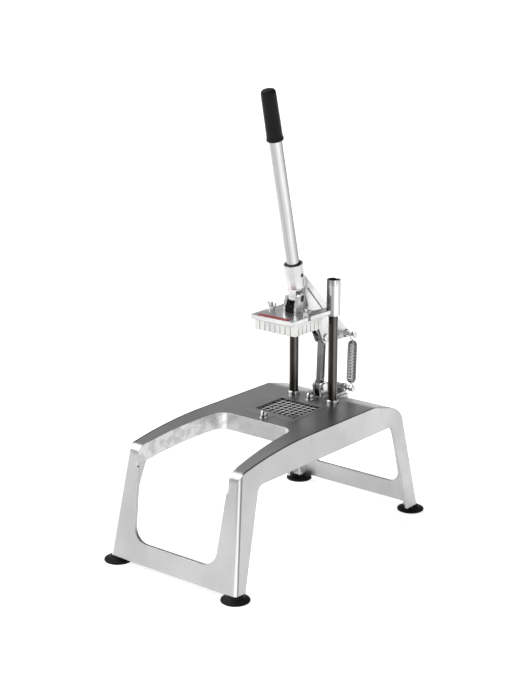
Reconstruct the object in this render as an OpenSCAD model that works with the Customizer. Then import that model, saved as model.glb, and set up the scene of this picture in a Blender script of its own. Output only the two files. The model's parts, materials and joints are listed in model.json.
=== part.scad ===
// French fry cutter: a lever press on a cast, four-legged base.
// X is to the right, Y to the back, Z up. The origin is on the floor, in the middle of the four feet.

/* [Base casting] */
// Half the width across the leg ends
base_half_w = 126; // [120:1:132]
// Half the depth across the leg ends
base_half_d = 236.5; // [230:0.5:245]
// Half the width of the walls at the height of the crown
top_half_w = 108; // [104:1:114]
// Half the depth of the end walls at the height of the crown
top_half_d = 203; // [198:1:208]
// Height of the leg ends above the floor
leg_z = 9; // [8.5:0.5:12]
// Height of the level part of the top
crown_z = 200; // [196:1:202]
// Place where the level part begins, behind the arched front part
level_y = -40; // [-45:1:-30]
// Radius of the arched front part, seen from the side
front_r = 800; // [700:20:1000]
// Place where the level part ends and the top slopes down to the rear
slope_y = 131; // [126:1:140]
// Slope of the rear part, in degrees
rear_slope = 14; // [10:1:16]
// Thickness of the cast walls
wall = 5; // [4:0.5:6]
// Radius of the upright corners
corner_r = 7; // [6:0.5:11]
// Radius where the top turns down into the front wall
shoulder_r = 18; // [12:1:24]
// Radius where the top turns down into the rear wall
rear_shoulder_r = 50; // [40:1:54]
// Height of the lower edge of the side skirts
skirt_z = 158; // [150:1:164]
// Width of a front leg at its foot, seen from the side
front_leg_w = 21; // [19.5:0.5:26]
// Width of a front leg at the height of the skirt
front_leg_top_w = 43; // [36:1:48]
// Width of a rear leg at its foot, seen from the side
rear_leg_w = 30.5; // [26:0.5:34]
// Width of a rear leg at the height of the skirt
rear_leg_top_w = 35; // [31:1:40]
// Radius in the corners of the side arches
arch_r = 14; // [10:1:20]
// Height of the bars that join the legs at the front and the rear
rail_h = 32; // [27:1:37]
// Half the width of the front window at its lower edge
front_window_w = 80; // [74:1:86]
// Half the width of the rear window at its lower edge
rear_window_w = 95; // [88:1:100]
// Narrowing of the rear window on each side, up to its upper edge
rear_window_draw = 9; // [6:1:12]
// Radius in the corners of both windows
window_r = 26; // [18:1:30]

/* [Throat] */
// Place of the back edge of the open throat in the top
throat_y = -35; // [-45:1:-32]
// Half the width of the throat at its back edge
throat_half_w = 72; // [66:1:78]
// Widening of the throat on each side for each millimetre to the front
throat_flare = 0.1; // [0.06:0.01:0.12]
// Radius in the back corners of the throat
throat_r = 20; // [14:1:26]
// Depth of the flange round the throat
throat_flange = 27.5; // [22:0.5:32]

/* [Feet] */
// Distance of a foot's middle from the two outer faces of its leg
foot_inset = 9; // [8.5:0.5:10]
// Diameter of a suction foot
foot_d = 44; // [40:1:47]
// Diameter of the stud of a foot
foot_stud_d = 8; // [6:1:8]
// Length of the stud inside the leg
foot_stud_l = 11; // [9:0.5:12]

/* [Knife block] */
// Middle of the knife block, front to back
block_y = 45; // [42:1:48]
// Distance from one cut to the next
cell = 10; // [9:0.5:10]
// Number of cells across
cells_x = 8; // [6:1:8]
// Number of cells front to back
cells_y = 7; // [5:1:7]
// Thickness of a blade
blade_t = 0.8; // [0.5:0.1:1]
// Height of one layer of blades
blade_h = 7; // [5:1:9]
// Height of the face of the base that the block rests on
block_seat_z = 196; // [194:0.5:196.5]
// Thickness of the flange of the block
block_flange_t = 4.4; // [3:0.2:5]
// Thickness of the wall of the block round the blades
block_wall = 5; // [4:0.5:6]
// Place of the front clamp stud
clamp_front_y = -17; // [-19:0.5:-15]
// Place of the rear clamp stud
clamp_rear_y = 101; // [100:0.5:102]
// Diameter of a clamp stud
clamp_d = 6; // [5:1:8]

/* [Columns] */
// Half the distance between the columns
column_x = 39; // [37:0.5:41]
// Place of the columns, front to back
column_y = 110; // [108:1:114]
// Diameter of a column
column_d = 15; // [13:0.5:16]
// Height of the top of a column
column_top = 395; // [385:1:400]
// Outer diameter of a collar
collar_d = 19.4; // [18:0.2:20.6]
// Height of the top of a collar
collar_top = 206; // [204:0.5:208]
// Diameter of the threaded end below the top
column_thread_d = 10; // [8:1:12]

/* [Carriage] */
// Distance that the carriage goes down
travel = 130; // [120:1:134]
// Height of the top face of the carriage plate at rest
plate_z = 356; // [354:0.5:358]
// Thickness of the carriage plate
plate_t = 7; // [6:0.5:8]
// Half the width of the carriage plate
plate_half_w = 41; // [40:0.2:42]
// Place of the front edge of the carriage plate
plate_front = 1; // [0:0.5:3]
// Depth of the plain band along the front edge of the plate
band_l = 10.8; // [8:0.2:12]
// Outer diameter of a guide sleeve
sleeve_d = 22.6; // [21:0.2:24]
// Height of the lower end of the sleeves at rest
sleeve_z = 345.3; // [343:0.1:347]
// Length of a guide sleeve
sleeve_l = 58.4; // [50:0.2:64]
// Length of the fingers of the pusher
finger_l = 15; // [12:0.5:18]
// Side of a finger
finger_w = 8.6; // [8:0.1:8.6]
// Thickness of the plate that the fingers stand on
pusher_t = 4.2; // [3:0.2:6]
// Distance of the pusher studs from the middle
stud_x = 34; // [32:0.5:35]
// Diameter of the pusher studs
stud_d = 5; // [4:0.5:6]

/* [Lever] */
// Place of the lever pivot at rest, front to back
pivot_y = 63; // [61:0.5:65]
// Height of the lever pivot at rest
pivot_z = 377; // [376:0.5:379]
// Diameter of the pivot pin
pivot_d = 10; // [8:0.5:11]
// Place of the joint of lever and link at rest, front to back
joint_b_y = 133; // [130:0.5:135]
// Height of the joint of lever and link at rest
joint_b_z = 298; // [296:0.5:300]
// Place of the spring pin on the lever at rest, front to back
joint_d_y = 193; // [190:0.5:195]
// Height of the spring pin on the lever at rest
joint_d_z = 292; // [290:0.5:294]
// Lean of the handle to the front at rest, in degrees
lean = 13; // [10:0.5:15]
// Distance of the handle's middle line behind the pivot
handle_back = 5.5; // [4:0.5:7]
// Thickness of the web of the lever
web_t = 12; // [11:0.5:14]
// Thickness of the lever at its pivot
hub_t = 14.6; // [13:0.2:15]
// Outer diameter of the socket at its mouth
socket_d = 31; // [29:0.2:32]
// Distance from the pivot to the mouth of the socket
socket_top = 56; // [50:1:60]
// Diameter of the handle tube
tube_d = 20.4; // [18:0.2:21]
// Distance from the pivot to the top of the handle
handle_top = 337; // [320:1:345]
// Length of the grip
grip_l = 86; // [76:1:96]
// Diameter of the grip
grip_d = 24.6; // [23:0.2:27]

/* [Link] */
// Place of the link's anchor on the rear bracket, front to back
joint_c_y = 129; // [127:0.5:131]
// Height of the link's anchor on the rear bracket
joint_c_z = 216; // [215:0.5:218]
// Thickness of the link
link_t = 8; // [6:0.5:8]
// Width of the link between its eyes
link_w = 12.4; // [11:0.2:13]
// Diameter of both pins of the link
link_pin_d = 8; // [6:0.5:8]
// Thickness of each ear beside the link
ear_t = 4.2; // [3.5:0.1:5]

/* [Spring] */
// Place of the spring pin on the rear bracket, front to back
joint_e_y = 190; // [188:0.5:192]
// Height of the spring pin on the rear bracket
joint_e_z = 200; // [199.5:0.5:202]
// Distance of the spring from the middle, to the right
spring_x = 18; // [17:0.5:20]
// Outer diameter of the spring
spring_d = 16.4; // [14:0.2:17]
// Diameter of the spring wire
wire_d = 2; // [1.6:0.1:2.1]
// Number of turns
turns = 28; // [20:1:28]
// Diameter of both spring pins
spring_pin_d = 6; // [5:0.5:6]

/* [Clearances] */
// Running clearance on the radius of a pin or column
run = 0.05; // [0.03:0.01:0.08]
// Gap between faces that slide past each other
side_gap = 0.4; // [0.3:0.05:0.5]

/* [Hidden] */
$fn = 48;

// Named colours of the photographed finishes
cast_grey = [0.62, 0.63, 0.64];
bright = [0.82, 0.83, 0.84];
chrome = [0.88, 0.89, 0.9];
dark_steel = [0.3, 0.3, 0.31];
black_rubber = [0.1, 0.1, 0.1];

far = 400;
eps = 0.1;

clamp_y = [clamp_front_y, clamp_rear_y];
pivot = [pivot_y, pivot_z];
joint_b = [joint_b_y, joint_b_z];
joint_c = [joint_c_y, joint_c_z];
joint_d = [joint_d_y, joint_d_z];
joint_e = [joint_e_y, joint_e_z];
foot_x = base_half_w - foot_inset;
foot_y = base_half_d - foot_inset;

// Half width and half depth of the leaning walls at a height
function wall_x(z) = base_half_w + (top_half_w - base_half_w) * (z - leg_z) / (crown_z - leg_z);
function wall_y(z) = base_half_d + (top_half_d - base_half_d) * (z - leg_z) / (crown_z - leg_z);
// Half width of the throat at a place along the base
function throat_w(y) = throat_half_w + throat_flare * (throat_y - y);

// ---------------------------------------------------------------- shared shapes

// A flat shape of the Y-Z plane, given thickness along X from x0 to x1
module along_x(x0, x1) {
    translate([x0, 0, 0]) rotate([90, 0, 90]) linear_extrude(x1 - x0) children();
}

// A flat shape of the X-Z plane, given thickness along Y from y0 to y1
module along_y(y0, y1) {
    translate([0, y1, 0]) rotate([90, 0, 0]) linear_extrude(y1 - y0) children();
}

// A round bar along X through a point of the Y-Z plane
module pin_x(place, d, x0, x1) {
    translate([x0, place[0], place[1]]) rotate([0, 90, 0]) cylinder(d = d, h = x1 - x0);
}

// A rectangle with round corners
module round_rect(half_x, half_y, r) {
    hull()
        for (sx = [-1, 1], sy = [-1, 1])
            translate([sx * (half_x - r), sy * (half_y - r)]) circle(r = r, $fn = 32);
}

// Rounds the outward corners of a flat shape
module rounded(r) {
    offset(r = r, $fn = 48) offset(delta = -r) children();
}

// ---------------------------------------------------------------- base

hull_below = 20;
// Reach of the side view below the legs, so that its rounded corners fall away
view_below = 2 * rear_shoulder_r;

// The four leaning walls as one solid, drawn in by a wall thickness for the hollow
module leaning_body(inset) {
    hull()
        for (z = [leg_z - hull_below, crown_z + hull_below])
            translate([0, 0, z]) linear_extrude(eps)
                round_rect(wall_x(z) - inset, wall_y(z) - inset, corner_r - inset / 2);
}

// Side view with sharp shoulders: leaning end walls, arched front, level middle, sloping rear
module sharp_side_view() {
    low = leg_z - view_below;
    high = crown_z + hull_below;
    intersection() {
        polygon([[-wall_y(low), low], [wall_y(low), low], [wall_y(high), high], [-wall_y(high), high]]);
        union() {
            translate([level_y, crown_z - front_r]) circle(r = front_r, $fn = 720);
            polygon([[level_y, low], [base_half_d + view_below, low],
                [base_half_d + view_below, crown_z - (base_half_d + view_below - slope_y) * tan(rear_slope)],
                [slope_y, crown_z], [level_y, crown_z]]);
        }
    }
}

// Side view of the base: each shoulder has its own radius
module side_view() {
    intersection() {
        rounded(shoulder_r) sharp_side_view();
        translate([-far, -far]) square([far + eps, 2 * far]);
    }
    intersection() {
        rounded(rear_shoulder_r) sharp_side_view();
        translate([0, -far]) square([far, 2 * far]);
    }
}

// Place of a leg's inner edge at a height, for a leg that widens from its foot to the skirt
function leg_edge(z, foot_w, top_w) = wall_y(z) - foot_w - (top_w - foot_w) * (z - leg_z) / (skirt_z - leg_z);

module side_arch() {
    low = -2 * arch_r;
    rounded(arch_r)
        polygon([[-leg_edge(low, front_leg_w, front_leg_top_w), low],
            [leg_edge(low, rear_leg_w, rear_leg_top_w), low],
            [wall_y(skirt_z) - rear_leg_top_w, skirt_z], [front_leg_top_w - wall_y(skirt_z), skirt_z]]);
}

rail_z = leg_z + rail_h;
throat_front_w = throat_w(-wall_y(crown_z));

module front_window() {
    rounded(window_r)
        polygon([[-front_window_w, rail_z], [front_window_w, rail_z], [throat_front_w, crown_z - shoulder_r],
            [throat_front_w, crown_z + 2 * window_r], [-throat_front_w, crown_z + 2 * window_r],
            [-throat_front_w, crown_z - shoulder_r]]);
}

module rear_window() {
    rounded(window_r - 4)
        polygon([[-rear_window_w, rail_z], [rear_window_w, rail_z],
            [rear_window_w - rear_window_draw, skirt_z], [-rear_window_w + rear_window_draw, skirt_z]]);
}

module throat() {
    front = -base_half_d - 2 * throat_r;
    rounded(throat_r)
        polygon([[-throat_w(throat_y), throat_y], [throat_w(throat_y), throat_y],
            [throat_w(front), front], [-throat_w(front), front]]);
}

foot_boss_h = 15;
foot_boss_w = 18;
// Clearance on the radius of a stud in its blind hole
stud_fit = 0.05;
column_boss_d = 28;
clamp_boss_d = 18;
boss_z = 181;
boss_h = crown_z - boss_z - wall / 2;
bracket_seat_z = 196;
bracket_half_w = 20;
bracket_y = [118, 177];
bracket_screw_x = 15;
bracket_screw_y = [124, 171];
bracket_screw_d = 5;
block_half_x = cells_x * cell / 2;
block_half_y = cells_y * cell / 2;

module throat_flange_wall() {
    difference() {
        translate([0, 0, skirt_z]) linear_extrude(far) offset(delta = wall) throat();
        translate([0, 0, -throat_flange]) along_x(-far, far) side_view();
    }
}

// Solid blocks in the leg ends, trimmed by the leaning walls
module foot_bosses() {
    for (sx = [-1, 1], sy = [-1, 1])
        translate([sx * (foot_x + foot_boss_w / 2), sy * (foot_y + foot_boss_w / 2), leg_z + foot_boss_h / 2])
            cube([2 * foot_boss_w, 2 * foot_boss_w, foot_boss_h], center = true);
}

module base_casting() {
    pad = 1;
    well_half_x = block_half_x + block_wall + side_gap;
    well_half_y = block_half_y + block_wall + side_gap;
    color(cast_grey) difference() {
        union() {
            intersection() {
                leaning_body(0);
                along_x(-far, far) side_view();
                union() {
                    difference() {
                        translate([-far, -far, leg_z]) cube([2 * far, 2 * far, far]);
                        intersection() {
                            leaning_body(wall);
                            along_x(-far, far) offset(delta = -wall) side_view();
                        }
                    }
                    foot_bosses();
                    for (sx = [-1, 1])
                        translate([sx * column_x, column_y, boss_z]) cylinder(d = column_boss_d, h = boss_h);
                    for (y = clamp_y)
                        translate([0, y, boss_z]) cylinder(d = clamp_boss_d, h = boss_h);
                    throat_flange_wall();
                }
            }
            // level pad of the rear bracket on the sloping part
            translate([-bracket_half_w - pad, bracket_y[0] - pad, boss_z])
                cube([2 * (bracket_half_w + pad), bracket_y[1] - bracket_y[0] + 2 * pad,
                    bracket_seat_z - boss_z]);
        }
        along_x(-far, far) side_arch();
        along_y(-far, -wall_y(crown_z) + shoulder_r - wall) front_window();
        along_y(wall_y(crown_z) - shoulder_r - wall, far) rear_window();
        translate([0, 0, skirt_z - wall]) linear_extrude(far) throat();
        // flat seat of the knife block and the opening under it
        translate([-well_half_x, block_y - well_half_y, skirt_z])
            cube([2 * well_half_x, 2 * well_half_y, far]);
        translate([0, 0, block_seat_z]) linear_extrude(far) offset(delta = side_gap) block_flange();
        for (y = clamp_y)
            translate([0, y, skirt_z]) cylinder(d = clamp_d, h = far);
        // spot faces and holes of the columns
        for (sx = [-1, 1]) translate([sx * column_x, column_y, 0]) {
            translate([0, 0, collar_z]) cylinder(d = collar_d + 2, h = far);
            translate([0, 0, skirt_z]) cylinder(d = column_thread_d, h = far);
        }
        // flat seat of the rear bracket and its screw holes
        translate([-bracket_half_w - pad - eps, bracket_y[0] - pad - eps, bracket_seat_z])
            cube([2 * (bracket_half_w + pad + eps), bracket_y[1] - bracket_y[0] + 2 * (pad + eps), far]);
        for (sx = [-1, 1], y = bracket_screw_y)
            translate([sx * bracket_screw_x, y, skirt_z]) cylinder(d = bracket_screw_d, h = far);
        // blind holes of the foot studs
        for (sx = [-1, 1], sy = [-1, 1])
            translate([sx * foot_x, sy * foot_y, 0])
                cylinder(d = foot_stud_d + 2 * stud_fit, h = leg_z + foot_stud_l + 1);
    }
}

// Height of the lower end of the studs, inside the feet
foot_core_z = 4;
// Ball that hollows the underside of a foot
hollow_r = 38.2;
hollow_h = 2.6;

module suction_foot(sx, sy) {
    r = foot_d / 2;
    color(black_rubber) translate([sx * foot_x, sy * foot_y, 0])
        difference() {
            rotate_extrude($fn = 64)
                polygon([[0, 0], [r - 0.6, 0], [r, 0.8], [r, 2.2], [r - 1.4, 3.4], [r - 6, 4.6], [r - 9, 6.2],
                    [r - 10.5, leg_z], [0, leg_z]]);
            // shallow suction hollow below
            translate([0, 0, hollow_h - hollow_r]) sphere(r = hollow_r, $fn = 96);
            translate([0, 0, foot_core_z]) cylinder(d = foot_stud_d, h = leg_z);
        }
}

module foot_studs() {
    color(chrome)
        for (sx = [-1, 1], sy = [-1, 1])
            translate([sx * foot_x, sy * foot_y, foot_core_z])
                cylinder(d = foot_stud_d, h = leg_z + foot_stud_l - foot_core_z);
}

// ---------------------------------------------------------------- knife block

block_top = block_seat_z + block_flange_t;
lug_r = 9;

// Outline of the flange: front bar with its wings, side bars, rear bar and the two lugs
module block_flange() {
    front = block_y - block_half_y - 15;
    rear = block_y + block_half_y + 12;
    offset(r = 1.5, $fn = 24) offset(delta = -1.5) {
        translate([-block_half_x - 11, front]) square([2 * block_half_x + 22, 12]);
        translate([-block_half_x - 7, front]) square([2 * block_half_x + 14, rear - front - 6]);
        translate([-block_half_x - 3, front]) square([2 * block_half_x + 6, rear - front]);
    }
    for (y = clamp_y)
        hull() {
            translate([0, y]) circle(r = lug_r, $fn = 32);
            translate([-lug_r, y < block_y ? front + 1 : rear - 2]) square([2 * lug_r, 1]);
        }
}

blade_z = block_top - 1 - 2 * blade_h;

module knife_block_frame() {
    color([0.55, 0.55, 0.56]) difference() {
        union() {
            translate([0, 0, block_seat_z]) linear_extrude(block_flange_t) block_flange();
            translate([-block_half_x - block_wall, block_y - block_half_y - block_wall, blade_z - 3])
                cube([2 * (block_half_x + block_wall), 2 * (block_half_y + block_wall),
                    block_seat_z - blade_z + 3 + eps]);
        }
        translate([-block_half_x + blade_t / 2, block_y - block_half_y + blade_t / 2, blade_z - 10])
            cube([2 * block_half_x - blade_t, 2 * block_half_y - blade_t, far]);
        for (y = clamp_y)
            translate([0, y, 0]) cylinder(d = clamp_d, h = far);
        blade_rows(block_wall / 2);
        blade_columns(block_wall / 2);
    }
}

// Lower layer: blades from left to right, a little longer than the opening
module blade_rows(seat) {
    for (i = [1 : cells_y - 1])
        translate([-block_half_x - seat, block_y - block_half_y + i * cell - blade_t / 2, blade_z])
            cube([2 * (block_half_x + seat), blade_t, blade_h]);
}

// Upper layer: blades from front to back
module blade_columns(seat) {
    for (i = [1 : cells_x - 1])
        translate([-block_half_x + i * cell - blade_t / 2, block_y - block_half_y - seat, blade_z + blade_h])
            cube([blade_t, 2 * (block_half_y + seat), blade_h]);
}

module blades_across() {
    color(chrome) blade_rows(block_wall / 2);
}

module blades_along() {
    color(chrome) blade_columns(block_wall / 2);
}

// Rise of the clamp studs over the block, inside their nuts
clamp_rise = 9;

// Studs with a hexagon head under the bosses of the base
module clamp_studs() {
    head_t = 4;
    head_d = 10;
    color(chrome)
        for (y = clamp_y) translate([0, y, boss_z - head_t]) {
            cylinder(d = clamp_d, h = block_top + clamp_rise - boss_z + head_t);
            cylinder(d = head_d, h = head_t, $fn = 6);
        }
}

// Hexagon nuts with a round flange and a domed top
module clamp_nuts() {
    flange_d = 14;
    flange_t = 1.6;
    across = 12.4;
    nut_h = 5;
    dome_r = 4.9;
    color(chrome)
        for (y = clamp_y) translate([0, y, block_top]) difference() {
            union() {
                cylinder(d = flange_d, h = flange_t);
                cylinder(d = across, h = flange_t + nut_h, $fn = 6);
                translate([0, 0, flange_t + nut_h]) rotate_extrude()
                    polygon([[0, 0], for (a = [0 : 15 : 90]) [dome_r * cos(a), dome_r * sin(a)]]);
            }
            translate([0, 0, -1]) cylinder(d = clamp_d, h = clamp_rise + 1);
        }
}

// ---------------------------------------------------------------- columns

collar_z = 198.5;
// Length of a column's threaded end below its boss
thread_below = 12;

module column(sx) {
    chamfer = 1;
    color(dark_steel) translate([sx * column_x, column_y, 0]) {
        translate([0, 0, boss_z - thread_below])
            cylinder(d = column_thread_d, h = collar_z - boss_z + thread_below);
        translate([0, 0, collar_z]) cylinder(d = column_d, h = column_top - collar_z - chamfer);
        translate([0, 0, column_top - chamfer])
            cylinder(d1 = column_d, d2 = column_d - 2 * chamfer, h = chamfer);
    }
}

module column_collar(sx) {
    h = collar_top - collar_z;
    chamfer = 1.5;
    grub_d = 4;
    color(chrome) translate([sx * column_x, column_y, collar_z]) difference() {
        rotate_extrude($fn = 64)
            polygon([[column_d / 2, 0], [collar_d / 2, 0], [collar_d / 2, h - chamfer],
                [collar_d / 2 - chamfer, h], [column_d / 2, h]]);
        // hole of the grub screw on the outer side
        translate([sx * collar_d / 4, 0, h / 2]) rotate([0, 90, 90 - 90 * sx])
            cylinder(d = grub_d, h = collar_d);
    }
}

// Nuts with a washer, below the bosses of the base
module column_nuts() {
    washer_d = 22;
    washer_t = 1.6;
    nut_d = 19;
    nut_h = 8;
    color(chrome)
        for (sx = [-1, 1]) translate([sx * column_x, column_y, boss_z - washer_t]) difference() {
            union() {
                cylinder(d = washer_d, h = washer_t);
                translate([0, 0, -nut_h]) cylinder(d = nut_d, h = nut_h, $fn = 6);
            }
            translate([0, 0, -nut_h - 1]) cylinder(d = column_thread_d, h = nut_h + washer_t + 2);
        }
}

// ---------------------------------------------------------------- rear bracket

bracket_foot_t = 5;
bracket_web_t = 10;
// Bosses that carry the two spring pins, and how far they reach to the right
pin_boss_d = 13;
pin_boss_x = 9;
ear_x = link_t / 2 + side_gap;
eye_r = 8;

bracket_top_z = bracket_seat_z + bracket_foot_t;

module bracket_ears() {
    hull() {
        translate(joint_c) circle(r = eye_r + 1, $fn = 32);
        translate([joint_c[0] - 7, bracket_top_z - eps]) square([24, 1]);
    }
}

// Arm behind the ears that reaches over the sloping rear of the top to the spring pin
module bracket_web() {
    front = joint_c[0] + eye_r + 5;
    top = 14.5;
    hull() {
        translate([front, bracket_top_z - eps]) square([30, 1]);
        translate([front, bracket_top_z + top - 1]) square([24, 1]);
        translate(joint_e) circle(r = 5.5, $fn = 32);
    }
}

module rear_bracket() {
    color(bright) difference() {
        union() {
            translate([0, (bracket_y[0] + bracket_y[1]) / 2, bracket_seat_z]) linear_extrude(bracket_foot_t)
                round_rect(bracket_half_w, (bracket_y[1] - bracket_y[0]) / 2, 5);
            for (sx = [-1, 1])
                along_x(sx > 0 ? ear_x : -ear_x - ear_t, sx > 0 ? ear_x + ear_t : -ear_x) bracket_ears();
            along_x(-bracket_web_t / 2, bracket_web_t / 2) bracket_web();
            pin_x(joint_e, pin_boss_d, 0, pin_boss_x);
        }
        pin_x(joint_c, link_pin_d, -far, far);
        pin_x(joint_e, spring_pin_d, -6, far);
        for (sx = [-1, 1], y = bracket_screw_y)
            translate([sx * bracket_screw_x, y, 0]) cylinder(d = bracket_screw_d, h = far);
    }
}

// Cap screws with a hexagon socket
module bracket_screws() {
    head_d = 9;
    head_t = 4;
    key_d = 5;
    key_z = 1.5;
    color(chrome)
        for (sx = [-1, 1], y = bracket_screw_y)
            translate([sx * bracket_screw_x, y, bracket_top_z]) difference() {
                union() {
                    translate([0, 0, boss_z - bracket_top_z])
                        cylinder(d = bracket_screw_d, h = bracket_top_z - boss_z);
                    cylinder(d = head_d, h = head_t);
                }
                translate([0, 0, key_z]) cylinder(d = key_d, h = head_t, $fn = 6);
            }
}

pin_head_t = 2.4;
pin_head_d = 13;

// Pin with a head at each end, through both ears
module link_anchor_pin() {
    reach = ear_x + ear_t;
    color(chrome) {
        pin_x(joint_c, link_pin_d, -reach, reach);
        for (sx = [-1, 1])
            pin_x(joint_c, pin_head_d, sx > 0 ? reach : -reach - pin_head_t,
                sx > 0 ? reach + pin_head_t : -reach);
    }
}

// Pin with a round head that keeps the hook of the spring on it
module spring_stub(place, x0) {
    head_x = spring_x + 4;
    head_t = 2;
    pin_x(place, spring_pin_d, x0, head_x);
    pin_x(place, spring_pin_d + 4, head_x, head_x + head_t);
}

module spring_anchor_pin() {
    color(chrome) spring_stub(joint_e, -bracket_web_t / 2);
}

// ---------------------------------------------------------------- carriage

plate_rear = 80;
arm_in_x = 23;
slot_half_w = hub_t / 2 + 0.5;
cheek_t = 5.4;

module plate_outline() {
    difference() {
        union() {
            offset(r = 2, $fn = 24) offset(delta = -2)
                translate([-plate_half_w, plate_front]) square([2 * plate_half_w, plate_rear - plate_front]);
            for (sx = [-1, 1])
                hull() {
                    translate([sx > 0 ? arm_in_x : -plate_half_w, plate_rear - 12])
                        square([plate_half_w - arm_in_x, 12]);
                    translate([sx > 0 ? arm_in_x + 5 : -column_x - 4, column_y - 2])
                        square([column_x - arm_in_x - 1, 4]);
                }
        }
        // slot that the lever swings through
        translate([-slot_half_w, plate_rear - 20]) square([2 * slot_half_w, 40]);
        // notches of the pusher studs, open to the sides
        for (sx = [-1, 1]) hull() {
            translate([sx * stud_x, block_y]) circle(d = stud_d + 1, $fn = 32);
            translate([sx * (stud_x + 12), block_y]) circle(d = stud_d + 1, $fn = 32);
        }
    }
}

// Side view of one cheek of the clevis
module cheek() {
    half_l = 16;
    hull() {
        translate(pivot) circle(r = hub_r, $fn = 32);
        translate([pivot[0] - half_l, plate_z - eps]) square([2 * half_l, 8]);
    }
}

module carriage_plate() {
    color(bright) difference() {
        union() {
            translate([0, 0, plate_z - plate_t]) linear_extrude(plate_t) plate_outline();
            for (sx = [-1, 1])
                along_x(sx > 0 ? slot_half_w : -slot_half_w - cheek_t,
                    sx > 0 ? slot_half_w + cheek_t : -slot_half_w) cheek();
        }
        pin_x(pivot, pivot_d, -far, far);
        for (sx = [-1, 1])
            translate([sx * column_x, column_y, 0]) cylinder(d = sleeve_d, h = 2 * far);
    }
}

module guide_sleeve(sx) {
    color(chrome) translate([sx * column_x, column_y, sleeve_z]) difference() {
        rotate_extrude($fn = 64)
            polygon([[column_d / 2 + run, 0], [sleeve_d / 2 - 0.6, 0], [sleeve_d / 2, 0.6],
                [sleeve_d / 2, sleeve_l - 0.8], [sleeve_d / 2 - 0.8, sleeve_l], [column_d / 2 + 2, sleeve_l],
                [column_d / 2 + run, sleeve_l - 3]]);
    }
}

pusher_top = plate_z - plate_t;

module pusher_block() {
    gap = (cell - finger_w) / 2;
    color(bright) difference() {
        union() {
            translate([-block_half_x + gap / 2, block_y - block_half_y + gap / 2, pusher_top - pusher_t])
                cube([2 * block_half_x - gap, 2 * block_half_y - gap, pusher_t]);
            for (i = [0 : cells_x - 1], j = [0 : cells_y - 1])
                translate([-block_half_x + i * cell + gap, block_y - block_half_y + j * cell + gap,
                    pusher_top - pusher_t - finger_l])
                    cube([finger_w, finger_w, finger_l + eps]);
        }
        for (sx = [-1, 1])
            translate([sx * stud_x, block_y, pusher_top - pusher_t - eps]) cylinder(d = stud_d, h = far);
    }
}

wing_nut_z = plate_z;
// Rise of the pusher studs over the plate
stud_rise = 12;

module pusher_studs() {
    color(chrome)
        for (sx = [-1, 1])
            translate([sx * stud_x, block_y, pusher_top - pusher_t])
                cylinder(d = stud_d, h = plate_z + stud_rise - pusher_top + pusher_t);
}

module wing_nut(sx) {
    color(chrome) translate([sx * stud_x, block_y, wing_nut_z]) difference() {
        union() {
            cylinder(d1 = 10, d2 = 8, h = 6);
            // two wings that lean outwards
            for (side = [-1, 1])
                along_y(-1, 1) polygon([[side * 2.8, 1], [side * 4.6, 1], [side * 9, 8], [side * 9.2, 10.6],
                    [side * 7.4, 11.6], [side * 5.4, 10.4], [side * 2.8, 5.6]]);
        }
        translate([0, 0, -1]) cylinder(d = stud_d + 2 * run, h = 20);
    }
}

bumper_h = 11.5;
bumper_l = 11;
// Distance of the block's front face before the pivot
bumper_back = 18;

module stop_bumper() {
    color(black_rubber)
        along_x(-slot_half_w + side_gap, slot_half_w - side_gap) translate([pivot[0] - bumper_back, plate_z])
            polygon([[0, 0], [bumper_l, 0], [bumper_l, bumper_h - 1], [bumper_l - 1, bumper_h], [1, bumper_h],
                [0, bumper_h - 1]]);
}

band_half_w = 30;
band_t = 0.4;
band_inset = 0.8;

module front_band() {
    color([0.7, 0.2, 0.18]) translate([-band_half_w, plate_front + band_inset, plate_z])
        cube([2 * band_half_w, band_l, band_t]);
}

module lever_pivot_pin() {
    sunk = 1.5;
    reach = slot_half_w + cheek_t - sunk;
    color(dark_steel) pin_x(pivot, pivot_d, -reach, reach);
}

// ---------------------------------------------------------------- lever

// Moves to the frame of the handle: the pivot is the origin and Z runs up the handle
module handle_frame() {
    translate([0, pivot[0], pivot[1]]) rotate([lean, 0, 0]) children();
}

module handle_line() {
    handle_frame() translate([0, handle_back, 0]) children();
}

socket_base = 17;
socket_taper = 2.4;
// Rubber ring in the mouth of the socket
ring_h = 4;
ring_d = 25.4;
// Set screw on the right side of the socket
screw_z = 38;
screw_d = 6;
socket_bore_z = 24;
hub_r = 10;
neck_cut = 22;
// Height above the pivot, along the handle, up to which the neck is as narrow as the hub
neck_top = 14.6;
// Radius of the web's edge at the pivot, and radii of the bosses at the two joints
web_edge_r = 2.6;
boss_b_r = 10;
boss_d_r = 7;
slot_top_z = joint_b[1] + 28.5;
slot_back_y = joint_b[0] + 9.5;
slot_front_y = pivot[0] - 20;
slot_below = 40;
// Depth at which the recess of the web begins on each side
panel_x = web_t / 2 - 1.6;
// Upper corner of the web, beside the socket
socket_side = [pivot[0] + 12, pivot[1] + 33];

module lever_web() {
    hull() {
        translate(pivot) circle(r = web_edge_r, $fn = 32);
        translate(socket_side) circle(r = 3, $fn = 24);
        translate(joint_d) circle(r = boss_d_r - 0.8, $fn = 32);
        translate(joint_b) circle(r = boss_b_r - 1.2, $fn = 32);
    }
}

// Recess in each face of the web, with a rim along the edges
module web_panel() {
    rounded(4)
        polygon([[pivot[0] + 17, pivot[1] + 19], [pivot[0] + 21, pivot[1] - 24],
            [joint_b[0] - 12, slot_top_z + 15], [slot_back_y + 6, slot_top_z + 12],
            [slot_back_y + 6, joint_b[1] - 3], [joint_d[0] - 14, joint_d[1]]]);
}

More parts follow.
